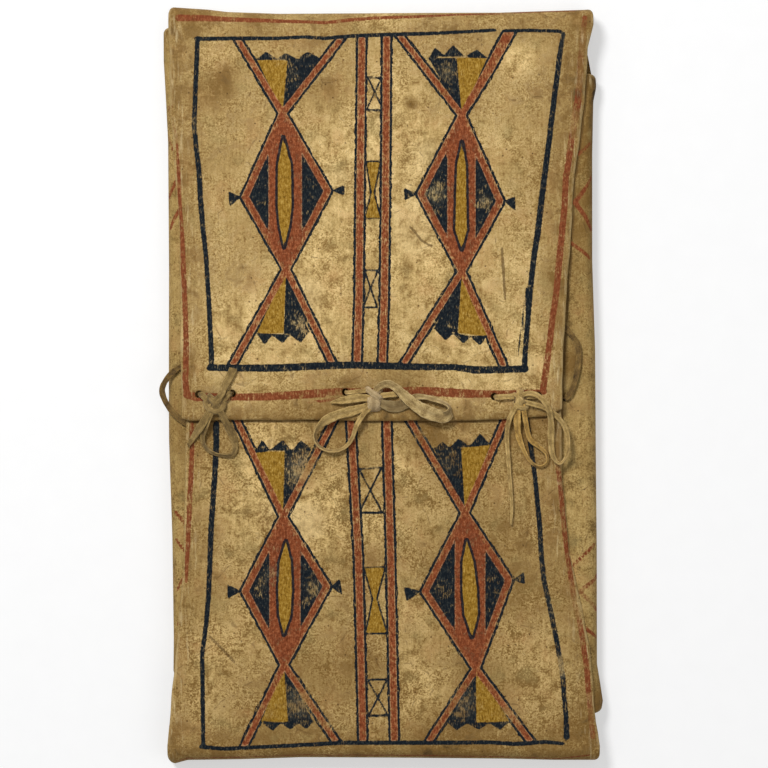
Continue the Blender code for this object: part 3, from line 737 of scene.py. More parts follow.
# Screen colours: the hides, paints and thongs as (light, middle, dark), and the marks on them
LOWER_CONTRAST = 1.32
HIDES = {
    "hide_upper": ((240, 209, 146), (196, 165, 105), (138, 107, 57)),
    "hide_lower": ((234, 201, 136), (188, 157, 98), (128, 97, 49)),
    "hide_sides": ((214, 184, 120), (174, 144, 86), (120, 93, 48)),
}
PAINTS = {
    "blue": ((56, 60, 58), (11, 20, 27), (2, 8, 16)),
    "red": ((174, 106, 66), (133, 68, 37), (100, 47, 21)),
    "yellow": ((186, 150, 72), (151, 113, 34), (106, 74, 14)),
}
THONGS = {
    "buckskin": ((212, 181, 118), (174, 144, 84), (116, 90, 46)),
    "buckskin_gold": ((212, 174, 100), (176, 137, 66), (104, 77, 34)),
    "buckskin_smoked": ((170, 142, 88), (135, 110, 60), (84, 64, 30)),
    "buckskin_light": ((216, 190, 134), (178, 151, 98), (120, 95, 52)),
    "buckskin_pale": ((210, 186, 144), (180, 155, 112), (128, 103, 66)),
    "hide_thong": ((146, 116, 60), (106, 80, 36), (60, 42, 15)),
}
MARKS = {
    "warm": (192, 146, 92), "cool": (166, 150, 98), "clean": (232, 203, 146),
    "stain": (114, 82, 34), "grease_and_shade": (36, 25, 12), "speck": (84, 58, 28), "dot": (80, 54, 24),
    "streak": (224, 198, 146), "crack": (104, 78, 42), "rubbed": (208, 182, 130),
    "ridge": (222, 198, 150), "hollow": (110, 84, 46), "scar_and_shadow": (88, 64, 32),
    "slate": (88, 96, 90), "old_red": (118, 62, 34), "red_edge": (196, 152, 108),
    "red_chip": (198, 150, 110), "groove": (104, 82, 48), "grime_and_shade": (78, 58, 30),
}


def srgb(colour):
    """A screen colour as the linear colour that a shader takes."""
    parts = [value / 255 for value in colour]
    return (*[p / 12.92 if p <= 0.04045 else ((p + 0.055) / 1.055) ** 2.4 for p in parts], 1.0)


def smooth(t):
    """A smooth step from nothing to one."""
    t = np.clip(t, 0.0, 1.0)
    return t * t * (3 - 2 * t)


def mix(a, b, t):
    """The value a share of the way from a to b."""
    return a + (b - a) * t


def read(points, at):
    """The value at a place on a line through (place, value) points."""
    places, values = np.array(points).T
    return np.interp(at, places, values)


def swell(x, y):
    """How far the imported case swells, with the hide's slow waves; nothing along the fold axes."""
    window = np.clip(1 - (x / AXIS_X) ** 2, 0, None) * np.clip(1 - (y / AXIS_Y) ** 2, 0, None)
    return window * (DOME + sum(high * np.sin(a * x + b * y + p) for a, b, p, high in WAVES))


def side_top(x, y):
    """The top of a side flap."""
    return 2 * SIDE_FOLD_R + swell(x, y)


def lower_top(x, y):
    """The top of the lower flap, which rises to where thongs run under it."""
    start, full = LOWER_RISE
    return 2 * END_FOLD_R + swell(x, y) + THONG_ROOM * smooth((y - start) / (full - start))


def upper_top(x, y):
    """The top of the upper flap, which rises over the lower one and curls up at its free end."""
    start, full = UPPER_RISE
    rise = THONG_ROOM + HIDE + SEAT
    rate, phase, high = CURL_WAVE
    near = smooth(1 - (y - read(UPPER_END, x)) / CURL_REACH)
    curl = (1 + high * np.sin(rate * x + phase)) * near
    return 2 * END_FOLD_R + swell(x, y) + rise * smooth((start - y) / (start - full)) + CURL * curl


def laid_top(x, y):
    """The top of the hide under the ties: the upper flap, and past its end the lower one."""
    end = read(UPPER_END, x) - EDGE_CLEAR
    down = smooth((end - y) / STEP_FADE)
    return mix(upper_top(x, np.maximum(y, end)), lower_top(x, y), down)


def edge_wave(along, shift):
    """How far a cut edge waves off its line, at places along it."""
    return sum(high * np.sin(rate * along + phase + shift) for rate, phase, high in EDGE_WAVES)


def stroke(at, points):
    """Signed distance from each place to a brush stroke through (X, Y, width) points."""
    best = np.full(len(at), FAR)
    for (x0, y0, w0), (x1, y1, w1) in zip(points, points[1:]):
        start, run = np.array((x0, y0)), np.array((x1 - x0, y1 - y0))
        share = np.clip((at - start) @ run / (run @ run), 0, 1)
        gap = np.hypot(*(at - start - share[:, None] * run).T) - mix(w0, w1, share) / 2
        best = np.minimum(best, gap)
    return best


def patch(at, corners):
    """Signed distance from each place to the edge of a filled outline, less than nothing inside."""
    inside = np.zeros(len(at), bool)
    best = np.full(len(at), FAR)
    x, y = at.T
    for (x0, y0), (x1, y1) in zip(corners, [*corners[1:], corners[0]]):
        best = np.minimum(best, stroke(at, [(x0, y0, 0), (x1, y1, 0)]))
        if y0 != y1:
            crosses = ((y0 > y) != (y1 > y)) & (x < x0 + (y - y0) * (x1 - x0) / (y1 - y0))
            inside ^= crosses
    return np.where(inside, -best, best)


def blobs(at, spots):
    """Soft round spots of (X, Y, radius, strength), added up."""
    total = np.zeros(len(at))
    for x, y, radius, strength in spots:
        total += strength * np.exp(-((at[:, 0] - x) ** 2 + (at[:, 1] - y) ** 2) / radius**2)
    return total


def further(end, start):
    """The end of an arm, carried on so that it reaches the frame."""
    run = np.subtract(end, start)
    return tuple(np.array(end) + run / np.hypot(*run) * ARM_REACH)


class Paint:
    """For each vertex, the signed distance to each colour: arms are red with a blue outline."""

    def __init__(self, at):
        self.at = at
        names = ("arms", "red", "yellow", "blue", "lens")
        self.gaps = {name: np.full(len(at), FAR) for name in names}

    def brush(self, colour, *strokes):
        for points in strokes:
            self.gaps[colour] = np.minimum(self.gaps[colour], stroke(self.at, points))

    def fill(self, colour, corners):
        self.gaps[colour] = np.minimum(self.gaps[colour], patch(self.at, corners))

    def line(self, points, width):
        self.brush("blue", [(*point, width) for point in points])

    def foot(self, teeth, middle, tip, left_colour, right_colour):
        """A triangle in two colours down or up to its tip, with blue teeth on its other end."""
        self.fill(left_colour, [teeth[0], middle, tip])
        self.fill(right_colour, [middle, teeth[-1], tip])
        for first in (0, 2, 4):
            self.fill("blue", teeth[first : first + 3])
        self.line(teeth[::2], TOOTH_LINE)

    def motif(self, m):
        """One of MOTIFS: its arms, feet, diamond, lens and tips."""
        (top_left, top_right), (high, low) = m["top"], m["cross"]
        (left, right), (low_left, low_right) = m["side"], m["bottom"]
        arms = (top_left, high, right, low, low_left), (top_right, high, left, low, low_right)
        for path in arms:
            path = [further(path[0], high), *path[1:-1], further(path[-1], low)]
            self.brush("arms", [(*point, width) for point, width in zip(path, ARM_WIDTHS)])
        if "broad" in m:
            self.brush("arms", m["broad"])
        colours = ("yellow", "blue") if high[0] < 0 else ("blue", "yellow")
        self.foot(m["teeth_up"], m["middle"][0], high, *colours)
        self.foot(m["teeth_down"], m["middle"][1], low, *colours)
        self.fill("blue", [high, left, low])
        self.fill("blue", [high, right, low])
        corners = []
        for bar, reach, vertex in ((1, COLUMN_REACH, right), (0, -COLUMN_REACH, left)):
            x = m["bars"][bar] + reach
            for start in (high, low):
                share = (x - start[0]) / (vertex[0] - start[0])
                corners.append((x, mix(start[1], vertex[1], share)))
        right_up, right_down, left_up, left_down = corners
        self.fill("arms", [high, right_up, right_down, low, left_down, left_up])
        self.fill("lens", m["lens"])
        self.fill("blue", [(left[0] - TIP_GAP, left[1]), *m["tips"][:2]])
        self.fill("blue", [(right[0] + TIP_GAP, right[1]), *m["tips"][2:]])

    def trim(self, high, low=None):
        """Ends the arms at the inner edges of the frame's lines."""
        x, y = self.at.T
        gap = y - read([(a, b - wide / 2) for a, b, wide in high], x)
        if low:
            gap = np.maximum(gap, read([(a, b + wide / 2) for a, b, wide in low], x) - y)
        self.gaps["arms"] = np.maximum(self.gaps["arms"], gap)

    def ladder(self, rails, boxes, hourglass):
        """The two rails between the motifs, with their crossed boxes and their hourglass."""
        for rail in rails:
            self.brush("arms", [(*point, RAIL_WIDTH) for point in rail])
        for a, b, c, d in boxes:
            for ends, extra in (((a, b), 0.3), ((d, c), 0.5), ((a, c), 0), ((b, d), 0)):
                self.line(ends, THIN_LINE + extra)
        self.fill("yellow", hourglass)
        self.line(hourglass[:2], THIN_LINE)
        self.line(hourglass[3:5], THIN_LINE)
        self.line(hourglass[1:4], TOOTH_LINE)
        self.line([hourglass[4], hourglass[5], hourglass[0]], TOOTH_LINE)


def open_hole(flat, spot, radius):
    """Draws the cells round a spot in to a circle, and returns the slice of cells inside it."""
    off = flat - np.array(spot)
    row, column = np.unravel_index(np.argmin(np.hypot(off[..., 0], off[..., 1])), off.shape[:2])
    shift = -off[row, column]
    reach = range(-HOLE_REACH, HOLE_REACH + 1)
    for r in (row + n for n in reach):
        for c in (column + n for n in reach):
            ring = max(abs(r - row), abs(c - column))
            place = flat[r, c] + shift * float(smooth((HOLE_REACH + 0.5 - ring) / 4))
            if ring in HOLE_PULLS:
                out = place - np.array(spot)
                wide = np.hypot(*out)
                wanted = radius + (ring - 2) * CELL
                place = np.array(spot) + out / wide * mix(wide, wanted, HOLE_PULLS[ring])
            flat[r, c] = place
    return slice(row - 2, row + 2), slice(column - 2, column + 2)


def border(rows, columns):
    """The grid places round a block of cells, in order, as (row, column)."""
    r0, r1, c0, c1 = rows.start, rows.stop, columns.start, columns.stop
    loop = [(r0, c) for c in range(c0, c1)] + [(r, c1) for r in range(r0, r1)]
    return loop + [(r1, c) for c in range(c1, c0, -1)] + [(r, c0) for r in range(r1, r0, -1)]


def lower_by(cells, rows):
    """The same blocks of cells, some rows further down."""
    return [(slice(r.start + rows, r.stop + rows), c) for r, c in cells]


def mesh_facts(data, facts):
    """Stores each name's values, one for each vertex, as an attribute of the mesh."""
    for name, values in facts.items():
        kind, key = ("FLOAT_VECTOR", "vector") if values.ndim == 2 else ("FLOAT", "value")
        layer = data.attributes.new(name, kind, "POINT")
        layer.data.foreach_set(key, values.astype(np.float32).ravel())


def shown(name, data):
    """A smooth object in the scene from a mesh."""
    data.shade_smooth()
    made = bpy.data.objects.new(name, data)
    bpy.context.scene.collection.objects.link(made)
    return made


def mesh_object(name, points, faces, facts):
    """An object from points in millimetres, with its faces out and its attributes."""
    data = bpy.data.meshes.new(name)
    data.from_pydata((points * MM).tolist(), [], faces)
    mesh_facts(data, facts)
    made = shown(name, data)
    face_out(made)
    return made


def sheet_object(name, outer, inner, facts, holes, all_round=False):
    """A closed sheet between two grids of points, with a rounded cut edge and walls in its holes.

    facts maps an attribute's name to its values on the outer face, the inner face and the edge.
    Where the hide runs on, which is at the first row or else all round, the edge is flat.
    """
    rows, columns = outer.shape[:2]
    count = rows * columns
    grid = np.arange(count).reshape(rows, columns)
    kept = np.ones((rows - 1, columns - 1), bool)
    for cells in holes:
        kept[cells] = False
    quads = np.stack([grid[:-1, :-1], grid[:-1, 1:], grid[1:, 1:], grid[1:, :-1]], -1)[kept]
    faces = [*quads.tolist(), *(quads[:, ::-1] + count).tolist()]

    rim = [grid[place] for place in border(slice(0, rows - 1), slice(0, columns - 1))]
    top, under = outer.reshape(-1, 3), inner.reshape(-1, 3)
    middle = (top[rim] + under[rim]) / 2
    ahead, behind = np.roll(middle, -1, 0), np.roll(middle, 1, 0)
    out = np.cross(ahead - behind, top[rim] - under[rim])
    out /= np.linalg.norm(out, axis=1)[:, None]
    inward = (top.mean(0) - middle)[:, :2]
    out *= -np.sign((out[:, :2] * inward).sum(1))[:, None]
    runs_on = all_round | (np.array(rim) < columns)
    middle = middle + out * np.where(runs_on, 0.0, EDGE_BULGE)[:, None]
    for k, a in enumerate(rim):
        n = (k + 1) % len(rim)
        b = rim[n]
        faces.append([a, b, 2 * count + n, 2 * count + k])
        faces.append([2 * count + k, 2 * count + n, b + count, a + count])
    for cells in holes:
        loop = [grid[place] for place in border(*cells)]
        for a, b in zip(loop, loop[1:] + loop[:1]):
            faces.append([a, b, b + count, a + count])

    points = np.concatenate([top, under, middle])
    used = np.unique(faces)
    new_index = np.full(len(points), -1)
    new_index[used] = np.arange(len(used))
    values = {}
    for attribute, (on_outer, on_inner, on_edge) in facts.items():
        on_edge = np.broadcast_to(on_edge, (len(rim), *np.shape(on_outer)[1:]))
        values[attribute] = np.concatenate([on_outer, on_inner, on_edge])[used]
    made = mesh_object(name, points[used], new_index[np.array(faces)].tolist(), values)
    corners = np.array(rim)[runs_on]
    corners = set(new_index[[*corners, *(corners + count)]].tolist())
    for line in made.data.edges:
        line.use_edge_sharp = corners.issuperset(line.vertices)
    return made


def face_out(piece):
    """Turns a closed mesh's faces out."""
    data = piece.data
    mesh = bmesh.new()
    mesh.from_mesh(data)
    bmesh.ops.recalc_face_normals(mesh, faces=mesh.faces)
    mesh.to_mesh(data)
    mesh.free()


def steps(start, stop, cell):
    """Even places from start to stop, no further apart than a cell."""
    return np.linspace(start, stop, math.ceil(abs(stop - start) / cell) + 1)


def nip(short):
    """How far a fold's end is rounded in, at a distance short of the fold's crest."""
    return CORNER_R - np.sqrt(CORNER_R**2 - np.maximum(CORNER_R - short, 0) ** 2)


def sheet_facts(flat, edge, rim, dirt_and_shade_spots, part, paint, shadow_strokes=()):
    """The attributes that the hide's material reads, for both faces of a sheet."""
    base_dirt, margin_dirt = SHEET_DIRT[part]
    at = flat.reshape(-1, 2)
    edge, rim = edge.ravel(), rim.ravel()
    none = np.full(len(at), FAR)
    # Dirt, and painted shade where some spots stand for shadows beside the ties
    dirt_and_shade = base_dirt + blobs(at, dirt_and_shade_spots) + margin_dirt * smooth(1 - edge / MARGIN)
    dirt_and_shade += FOLD_DIRT * smooth((np.abs(at[:, 1]) - FOLD_DIRT_FROM) / FOLD_DIRT_REACH)
    # Old scratches, and the dark lines painted as the upper flap's shadows
    scars_and_shadows = none
    for points in (*SCARS, *shadow_strokes):
        scars_and_shadows = np.minimum(scars_and_shadows, stroke(at, points))
    outer_place = np.column_stack([at, np.zeros(len(at))])
    inner_place = np.column_stack([at, np.full(len(at), INNER_PLACE)])
    facts = {
        "sheet": (outer_place, inner_place, np.array([0, 0, EDGE_PLACE])),
        "rim": (rim, rim, 0.0),
        "dirt_and_shade": (dirt_and_shade, np.full(len(at), INNER_DIRT), EDGE_DIRT),
        "scar_and_shadow": (scars_and_shadows, none, FAR),
        "worn": (blobs(at, WORN), 0 * none, 0.0),
    }
    for colour, gaps in paint.gaps.items():
        facts[f"paint_{colour}"] = (gaps, none, FAR)
    return facts


def from_ends(rows):
    """How far each place in a row is from the row's nearer end."""
    return np.minimum(rows - rows[:, :1], rows[:, -1:] - rows)


def folded(flat, top, under, u, side, bulge, axis, radius, cell, along_x):
    """A flap and its fold, from the back round, as one sheet.

    Gives the places of the unrolled hide, the outer face, the inner face, and how far the fold's
    rows are from its ends. An end fold runs along X, and a side fold along Y.
    """
    turn = steps(math.pi, 0.0, cell / radius)[:-1, None]
    sine, cosine = np.sin(turn), np.cos(turn)
    along = flat[:1, :, 0 if along_x else 1] + nip(radius * (1 - sine)) * (1 - 2 * u)
    stand = read(bulge, along)

    def rows(out, *high):
        out = side * (axis + out) + 0 * along
        return np.stack([*((along, out) if along_x else (out, along)), *high], -1)

    def face(r, height):
        bend = rows((r + stand) * sine, radius + r * cosine + 0 * along)
        return np.concatenate([bend, np.dstack([flat, height])])

    sheet = np.concatenate([rows(radius * turn), flat])
    return sheet, face(radius, top), face(radius - HIDE, under), from_ends(along)


def end_hide(name, side, outline, bulge, top, holes):
    """The upper (side 1) or lower (side -1) fold and flap, as one sheet from the back round."""
    left, right, end = outline
    axis = side * AXIS_Y
    columns = np.concatenate([
        steps(SHEET_SPAN[0], LADDER[0], CELL)[:-1],
        steps(*LADDER, LADDER_CELL)[:-1],
        steps(LADDER[1], SHEET_SPAN[1], CELL),
    ])
    u = (columns - columns[0]) / (columns[-1] - columns[0])
    free = end[len(end) // 2][1]
    share = steps(0.0, 1.0, CELL / abs(axis - free))

    row = mix(axis, free, share)[:, None]
    x = mix(read(left, row) + edge_wave(row, 0), read(right, row) + edge_wave(row, 2), u[None, :])
    y = mix(axis, read(end, x) + edge_wave(x, 4), share[:, None])
    flat = np.stack([x, y], -1)
    cells = [open_hole(flat, spot, HOLE_R) for spot in holes]
    x, y = flat[..., 0], flat[..., 1]
    high = top(x, y)
    to_sides, to_end = from_ends(x), np.abs(y - y[-1:])
    settle = smooth(share / SETTLE_SHARE)[:, None]
    laid = high - EDGE_THINNING * (1 - smooth(np.minimum(to_sides, to_end) / THINNED)) * settle
    sheet, outer, inner, fold_edge = folded(flat, laid, high - HIDE, u, side, bulge, *END_BEND)
    edge = np.concatenate([fold_edge, np.minimum(to_sides, END_NARROWER * to_end)])
    rim = np.concatenate([fold_edge, to_sides])

    paint = Paint(sheet.reshape(-1, 2))
    part = "upper" if side > 0 else "lower"
    for motif in (f"{part}_left", f"{part}_right"):
        paint.motif(MOTIFS[motif])
    if side > 0:
        paint.ladder(UPPER_RAILS, UPPER_BOXES, UPPER_HOURGLASS)
        paint.trim(UPPER_BLUE[0] + UPPER_BLUE[1], UPPER_BLUE[5])
        paint.brush("red", *UPPER_RED)
        paint.brush("blue", *UPPER_BLUE)
        facts = sheet_facts(sheet, edge, rim, UPPER_DIRT_AND_SHADE, "upper", paint)
    else:
        paint.ladder(LOWER_RAILS, LOWER_BOXES, LOWER_HOURGLASS)
        paint.trim([(0.0, LOWER_END[1][1], 0.0)], LOWER_BLUE[2])
        paint.brush("red", *LOWER_RED)
        paint.brush("blue", *LOWER_BLUE)
        # A dark line just below the upper flap's free end, painted on the lower flap as its shadow
        gap, wide = SHADOW_LINE_BY_END
        painted_shadow = [(x, y - gap, wide) for x, y in UPPER_END]
        facts = sheet_facts(sheet, edge, rim, LOWER_DIRT, "lower", paint, [painted_shadow])
    return sheet_object(name, outer, inner, facts, lower_by(cells, len(fold_edge)))


def side_hide(name, part, side):
    """A side fold and its flap, as one sheet from the back round."""
    low, high_end = SIDE_ENDS[part]
    bulge = LEFT_BULGE if side < 0 else RIGHT_BULGE
    depth = steps(0.0, SIDE_DEPTH, SIDE_CELL)[:, None]
    u = steps(0.0, 1.0, SIDE_CELL / (high_end - low))
    past = np.maximum(0.0, depth - (SIDE_DEPTH - SIDE_CORNER_R))
    drawn = SIDE_TAPER * depth + SIDE_CORNER_R - np.sqrt(np.maximum(SIDE_CORNER_R**2 - past**2, 0))
    y = mix(low + drawn, high_end - drawn, u[None, :])
    x = side * (AXIS_X - depth - edge_wave(y, side) * smooth(depth / SIDE_WAVE_FULL)) + 0 * y
    flat = np.stack([x, y], -1)
    cells = [open_hole(flat, SIDE_HOLE, SIDE_HOLE_R)] if side > 0 else []
    x, y = flat[..., 0], flat[..., 1]
    high = side_top(x, y)
    sheet, outer, inner, fold_edge = folded(flat, high, high - HIDE, u, side, bulge, *SIDE_BEND)
    edge = np.concatenate([fold_edge, np.minimum(from_ends(y), SIDE_DEPTH - depth)])
    paint = Paint(sheet.reshape(-1, 2))
    paint.brush("red", *SIDE_RED[part])
    # On the right side flap, a dark line beside the upper flap's right edge, painted as its shadow
    gap, wide = SHADOW_LINE_BY_EDGE
    painted_shadow = [[(x + gap, y, wide) for y, x in UPPER_RIGHT]] if side > 0 else []
    facts = sheet_facts(sheet, edge, edge, SIDE_DIRT_AND_SHADE, "sides", paint, painted_shadow)
    return sheet_object(name, outer, inner, facts, lower_by(cells, len(fold_edge)))


def back_hide(name):
    """The back, narrower where a side fold stands beside it."""
    limits = sorted(end for span in SIDE_ENDS.values() for end in span)
    stops = [-AXIS_Y, *limits, AXIS_Y]
    rows = [steps(a + SEAM, b - SEAM, BACK_CELL) for a, b in zip(stops, stops[1:])]
    y = np.concatenate(rows)[:, None]
    sides = []
    for side, outline, (low, high) in (
        (-1, BACK_LEFT, SIDE_ENDS["left"]), (1, BACK_RIGHT, SIDE_ENDS["right"]),
    ):
        sides.append(np.where((y > low) & (y < high), side * (AXIS_X - SEAM), read(outline, y)))
    x = mix(sides[0], sides[1], np.linspace(0, 1, BACK_COLUMNS)[None, :])
    flat = np.stack([x, y + 0 * x], -1)
    ground = np.concatenate([flat, np.zeros((*x.shape, 1))], -1)
    lifted = ground + np.array([0, 0, HIDE])
    edge = np.full(x.shape, FAR)
    paint = Paint(flat.reshape(-1, 2))
    facts = sheet_facts(flat, edge, edge, [], "back", paint)
    # The back's inner face is darkened inside the folds' mouths, as painted shade
    outer, inner, cut = facts["dirt_and_shade"]
    facts["dirt_and_shade"] = (outer, inner + blobs(flat.reshape(-1, 2), MOUTH_SHADE), cut)
    return sheet_object(name, ground, lifted, facts, [], all_round=True)


def smooth_route(points, spacing):
    """A Catmull-Rom curve through the points, read at about even steps."""
    points = [np.array(p, float) for p in points]
    ends = [2 * points[0] - points[1], *points, 2 * points[-1] - points[-2]]
    t = np.linspace(0, 1, 16, endpoint=False)[:, None]
    parts = []
    for a, b, c, d in zip(ends, ends[1:], ends[2:], ends[3:]):
        parts.append(
            0.5 * (2 * b + (c - a) * t + (2 * a - 5 * b + 4 * c - d) * t**2)
            + 0.5 * (3 * b - a - 3 * c + d) * t**3
        )
    fine = np.concatenate([*parts, points[-1][None]])
    run = np.concatenate([[0], np.cumsum(np.linalg.norm(np.diff(fine, axis=0), axis=1))])
    at = np.linspace(0, run[-1], max(6, round(run[-1] / spacing)) + 1)
    return np.stack([np.interp(at, run, fine[:, axis]) for axis in range(3)], -1), at


def strap(
    name, route, width, thickness, turns=((0, 0, 1), (1, 0, 1)), seed=0.0, end="object",
    curl=CURL_OF_STRAP, shades=((0, 0), (1, 0)), slant=SLANT,
):
    """A soft strap swept along a route: it turns on edge and changes width as turns says.

    A curl over nothing lifts its lips and leaves a groove between them, and one under nothing draws
    it down at its lips. Its colour is darkened as painted shade where shades says, and a bare end
    is cut at the slant.
    """
    places, along = smooth_route(route, STRAP_STEP)
    share = along / along[-1]
    shares, degrees, widths = np.array(turns).T
    roll = np.radians(np.interp(share, shares, degrees))
    part = np.interp(share, shares, widths)
    part *= 1 + sum(high * np.sin(along * rate + n * seed) for high, rate, n in STRAP_WAVES)
    half = part * width / 2
    places[:, 2] += np.abs(np.sin(roll)) * np.maximum(half - thickness / 2, 0)

    ahead = np.gradient(places, axis=0)
    ahead /= np.linalg.norm(ahead, axis=1)[:, None]
    level = ahead[:, :2].copy()
    for k in range(len(level)):
        if np.hypot(*level[k]) < STEEP:
            level[k] = level[k - 1] if k else (1.0, 0.0)
    level /= np.hypot(*level.T)[:, None]
    across = np.column_stack([-level[:, 1], level[:, 0], np.zeros(len(level))])
    up = np.cross(ahead, across)
    up /= np.linalg.norm(up, axis=1)[:, None]
    side = np.cos(roll)[:, None] * across + np.sin(roll)[:, None] * up
    rise = np.cos(roll)[:, None] * up - np.sin(roll)[:, None] * across

    angles = np.linspace(0, 2 * math.pi, STRAP_SIDES, endpoint=False)
    flat = np.sign(np.cos(angles)) * np.abs(np.cos(angles)) ** FLATNESS
    deep = np.sign(np.sin(angles)) * np.abs(np.sin(angles)) ** EDGE_ROUNDNESS
    groove = GROOVE[0] * np.exp(-((flat / GROOVE[1]) ** 2)) * (deep > 0) * (curl > 0)
    rings = (
        places[:, None, :]
        + (half[:, None] * flat)[..., None] * side[:, None, :]
        + (thickness * (deep / 2 + curl * flat**2 - groove))[None, :, None] * rise[:, None, :]
    )
    if end == "bare":
        cut = slant * smooth((share - 1 + CUT_SHARE) / CUT_SHARE)
        rings += (cut[:, None] * half[:, None] * flat)[..., None] * ahead[:, None, :]
    count, sides = rings.shape[:2]
    index = np.arange(count * sides).reshape(count, sides)
    beside = np.roll(index, -1, 1)
    quads = np.stack([index[:-1], beside[:-1], beside[1:], index[1:]], -1).reshape(-1, 4)
    tips = [count * sides, count * sides + 1]
    faces = quads.tolist()
    for tip, ring in zip(tips, (index[0], index[-1])):
        faces += [[tip, a, b] for a, b in zip(ring, np.roll(ring, -1))]
    nudge = TIP_OUT * thickness
    caps = np.stack([places[0] - nudge * ahead[0], places[-1] + nudge * ahead[-1]])
    points = np.concatenate([rings.reshape(-1, 3), caps])
    cloth = np.broadcast_arrays(along[:, None] + SEED_APART * seed, half[:, None] * flat, 3 * deep)
    cloth = np.stack(cloth, -1)
    cloth = np.concatenate([cloth.reshape(-1, 3), cloth[[0, -1], 0]])
    lip = np.concatenate([np.broadcast_to(np.abs(flat), (count, sides)).ravel(), [0.5, 0.5]])
    # Painted shade along the strap, as shades says, for the material to darken it
    shade = np.interp(share, *np.array(shades).T)
    shade = np.concatenate([np.repeat(shade, sides), shade[[0, -1]]])
    facts = {"sheet": cloth, "lip": lip, "deep": shade}
    return mesh_object(name, points, faces, facts), places


def laid_route(points):
    """Gives each (X, Y, layers under it) its height over the hide."""
    over = LIE + THONG / 2
    return [(x, y, float(laid_top(x, y)) + over + under * LAYER) for x, y, under in points]


def join(name, pieces):
    """One mesh object of several."""
    mesh = bmesh.new()
    for piece in pieces:
        mesh.from_mesh(piece.data)
    data = pieces[0].data
    mesh.to_mesh(data)
    mesh.free()
    for piece in pieces[1:]:
        bpy.data.objects.remove(piece)
    pieces[0].name = name
    data.name = name
    return pieces[0]


def knot_core(name, spot):
    """The bundled strap inside a knot: a soft lump with its folds."""
    x, y, half_x, half_y = spot
    floor = float(laid_top(x, y)) + SEAT + LUMP_CLEAR
    mesh = bmesh.new()
    bmesh.ops.create_icosphere(mesh, subdivisions=4, radius=1.0)
    for vert in mesh.verts:
        a, b, c = vert.co
        fold = 1 + 0.07 * math.sin(9 * a + 4 * b + x) + 0.05 * math.sin(11 * b - 5 * c + y)
        high = (math.copysign(abs(c) ** 0.8, c) + 1) / 2 * (KNOT_HEIGHT - 2 * LUMP_CLEAR)
        out_x, out_y = a * fold * (half_x - LUMP_IN), b * fold * (half_y - LUMP_IN)
        vert.co = Vector((x + out_x, y + out_y, floor + high)) * MM
    data = bpy.data.meshes.new(name)
    mesh.to_mesh(data)
    mesh.free()
    places = np.array([v.co for v in data.vertices]) / MM
    # The lump is darkened all over, as painted shade and dirt where it shows between the wraps
    mesh_facts(data, {"sheet": places, "lip": 0 * places[:, 0], "deep": np.ones(len(places))})
    return shown(name, data)


def knot(name, facts, seed):
    """A knot: its lump, and the turns of strap round it."""
    x, y = facts["knot"][:2]
    floor = float(laid_top(x, y)) + SEAT
    pieces = [knot_core(name, facts["knot"])]
    for number, (width, points) in enumerate(facts["wraps"]):
        route = [(x + dx, y + dy, floor + high) for dx, dy, high in points]
        how = {"seed": seed + number, "curl": CURL_OF_WRAP}
        pieces.append(strap(f"{name}_wrap_{number}", route, width, WRAP, **how)[0])
    return join(name, pieces)


def leg(name, hole, meets, side, seed):
    """The strap from where it meets the knot over the flap, and down its hole's near side."""
    *meets, width = meets
    x, y = hole[0] - side * LEG_OFF[0], hole[1] - LEG_OFF[1]
    top = float(laid_top(x, y))
    lie = float(laid_top(*meets)) + SEAT + 0.6 + LEG_R
    route = [
        (*meets, lie + 0.6),
        (mix(meets[0], x, 0.45), mix(meets[1], y, 0.5) + 0.2, lie + 0.1),
        (x - side * TURN_OFF, y, top + LEG_R + 0.7),
        (x, y, top - 0.2),
        (x, y, top - HIDE + SEAT),
    ]
    turns = ((0, 0, 1.0), (0.6, -side * 12, 1.0), (1, 0, 0.85))
    return strap(name, route, width, STRAP, turns, seed)[0]


def bight(name, holes, seed):
    """The strap behind the lower flap, up through both holes to that flap's top."""
    (x0, y0), (x1, y1) = holes
    high0, high1 = float(lower_top(x0, y0)), float(lower_top(x1, y1))
    middle = (mix(x0, x1, 0.5), mix(y0, y1, 0.5) - 1.0)
    hang = HIDE + BIGHT_GAP + BIGHT_R
    route = [
        (x0, y0, high0), (x0, y0, high0 - BIGHT_DROP), (x0 + TURN_OFF, y0, high0 - hang + 0.1),
        (*middle, float(lower_top(middle[0], y0)) - hang),
        (x1 - TURN_OFF, y1, high1 - hang + 0.1), (x1, y1, high1 - BIGHT_DROP), (x1, y1, high1),
    ]
    return strap(name, route, BIGHT_WIDTH, STRAP, seed=seed)[0]


def side_thong_route(name):
    """A side thong's route over its flap: down its hole, or sagging past the edge."""
    laid = [(x, y, float(side_top(x, y)) + LACE_LIFT) for x, y in SIDE_THONGS[name]]
    if name == "right_side_thong":
        x, y = SIDE_HOLE
        top = float(side_top(x, y))
        return laid + [(x, y, top - LACE_DROP), (x, y, top - HIDE)]
    past = max(-x for x, _, _ in laid) - AXIS_X
    return [(x, y, high - SAG * max(0.0, -x - AXIS_X) / past) for x, y, high in laid]


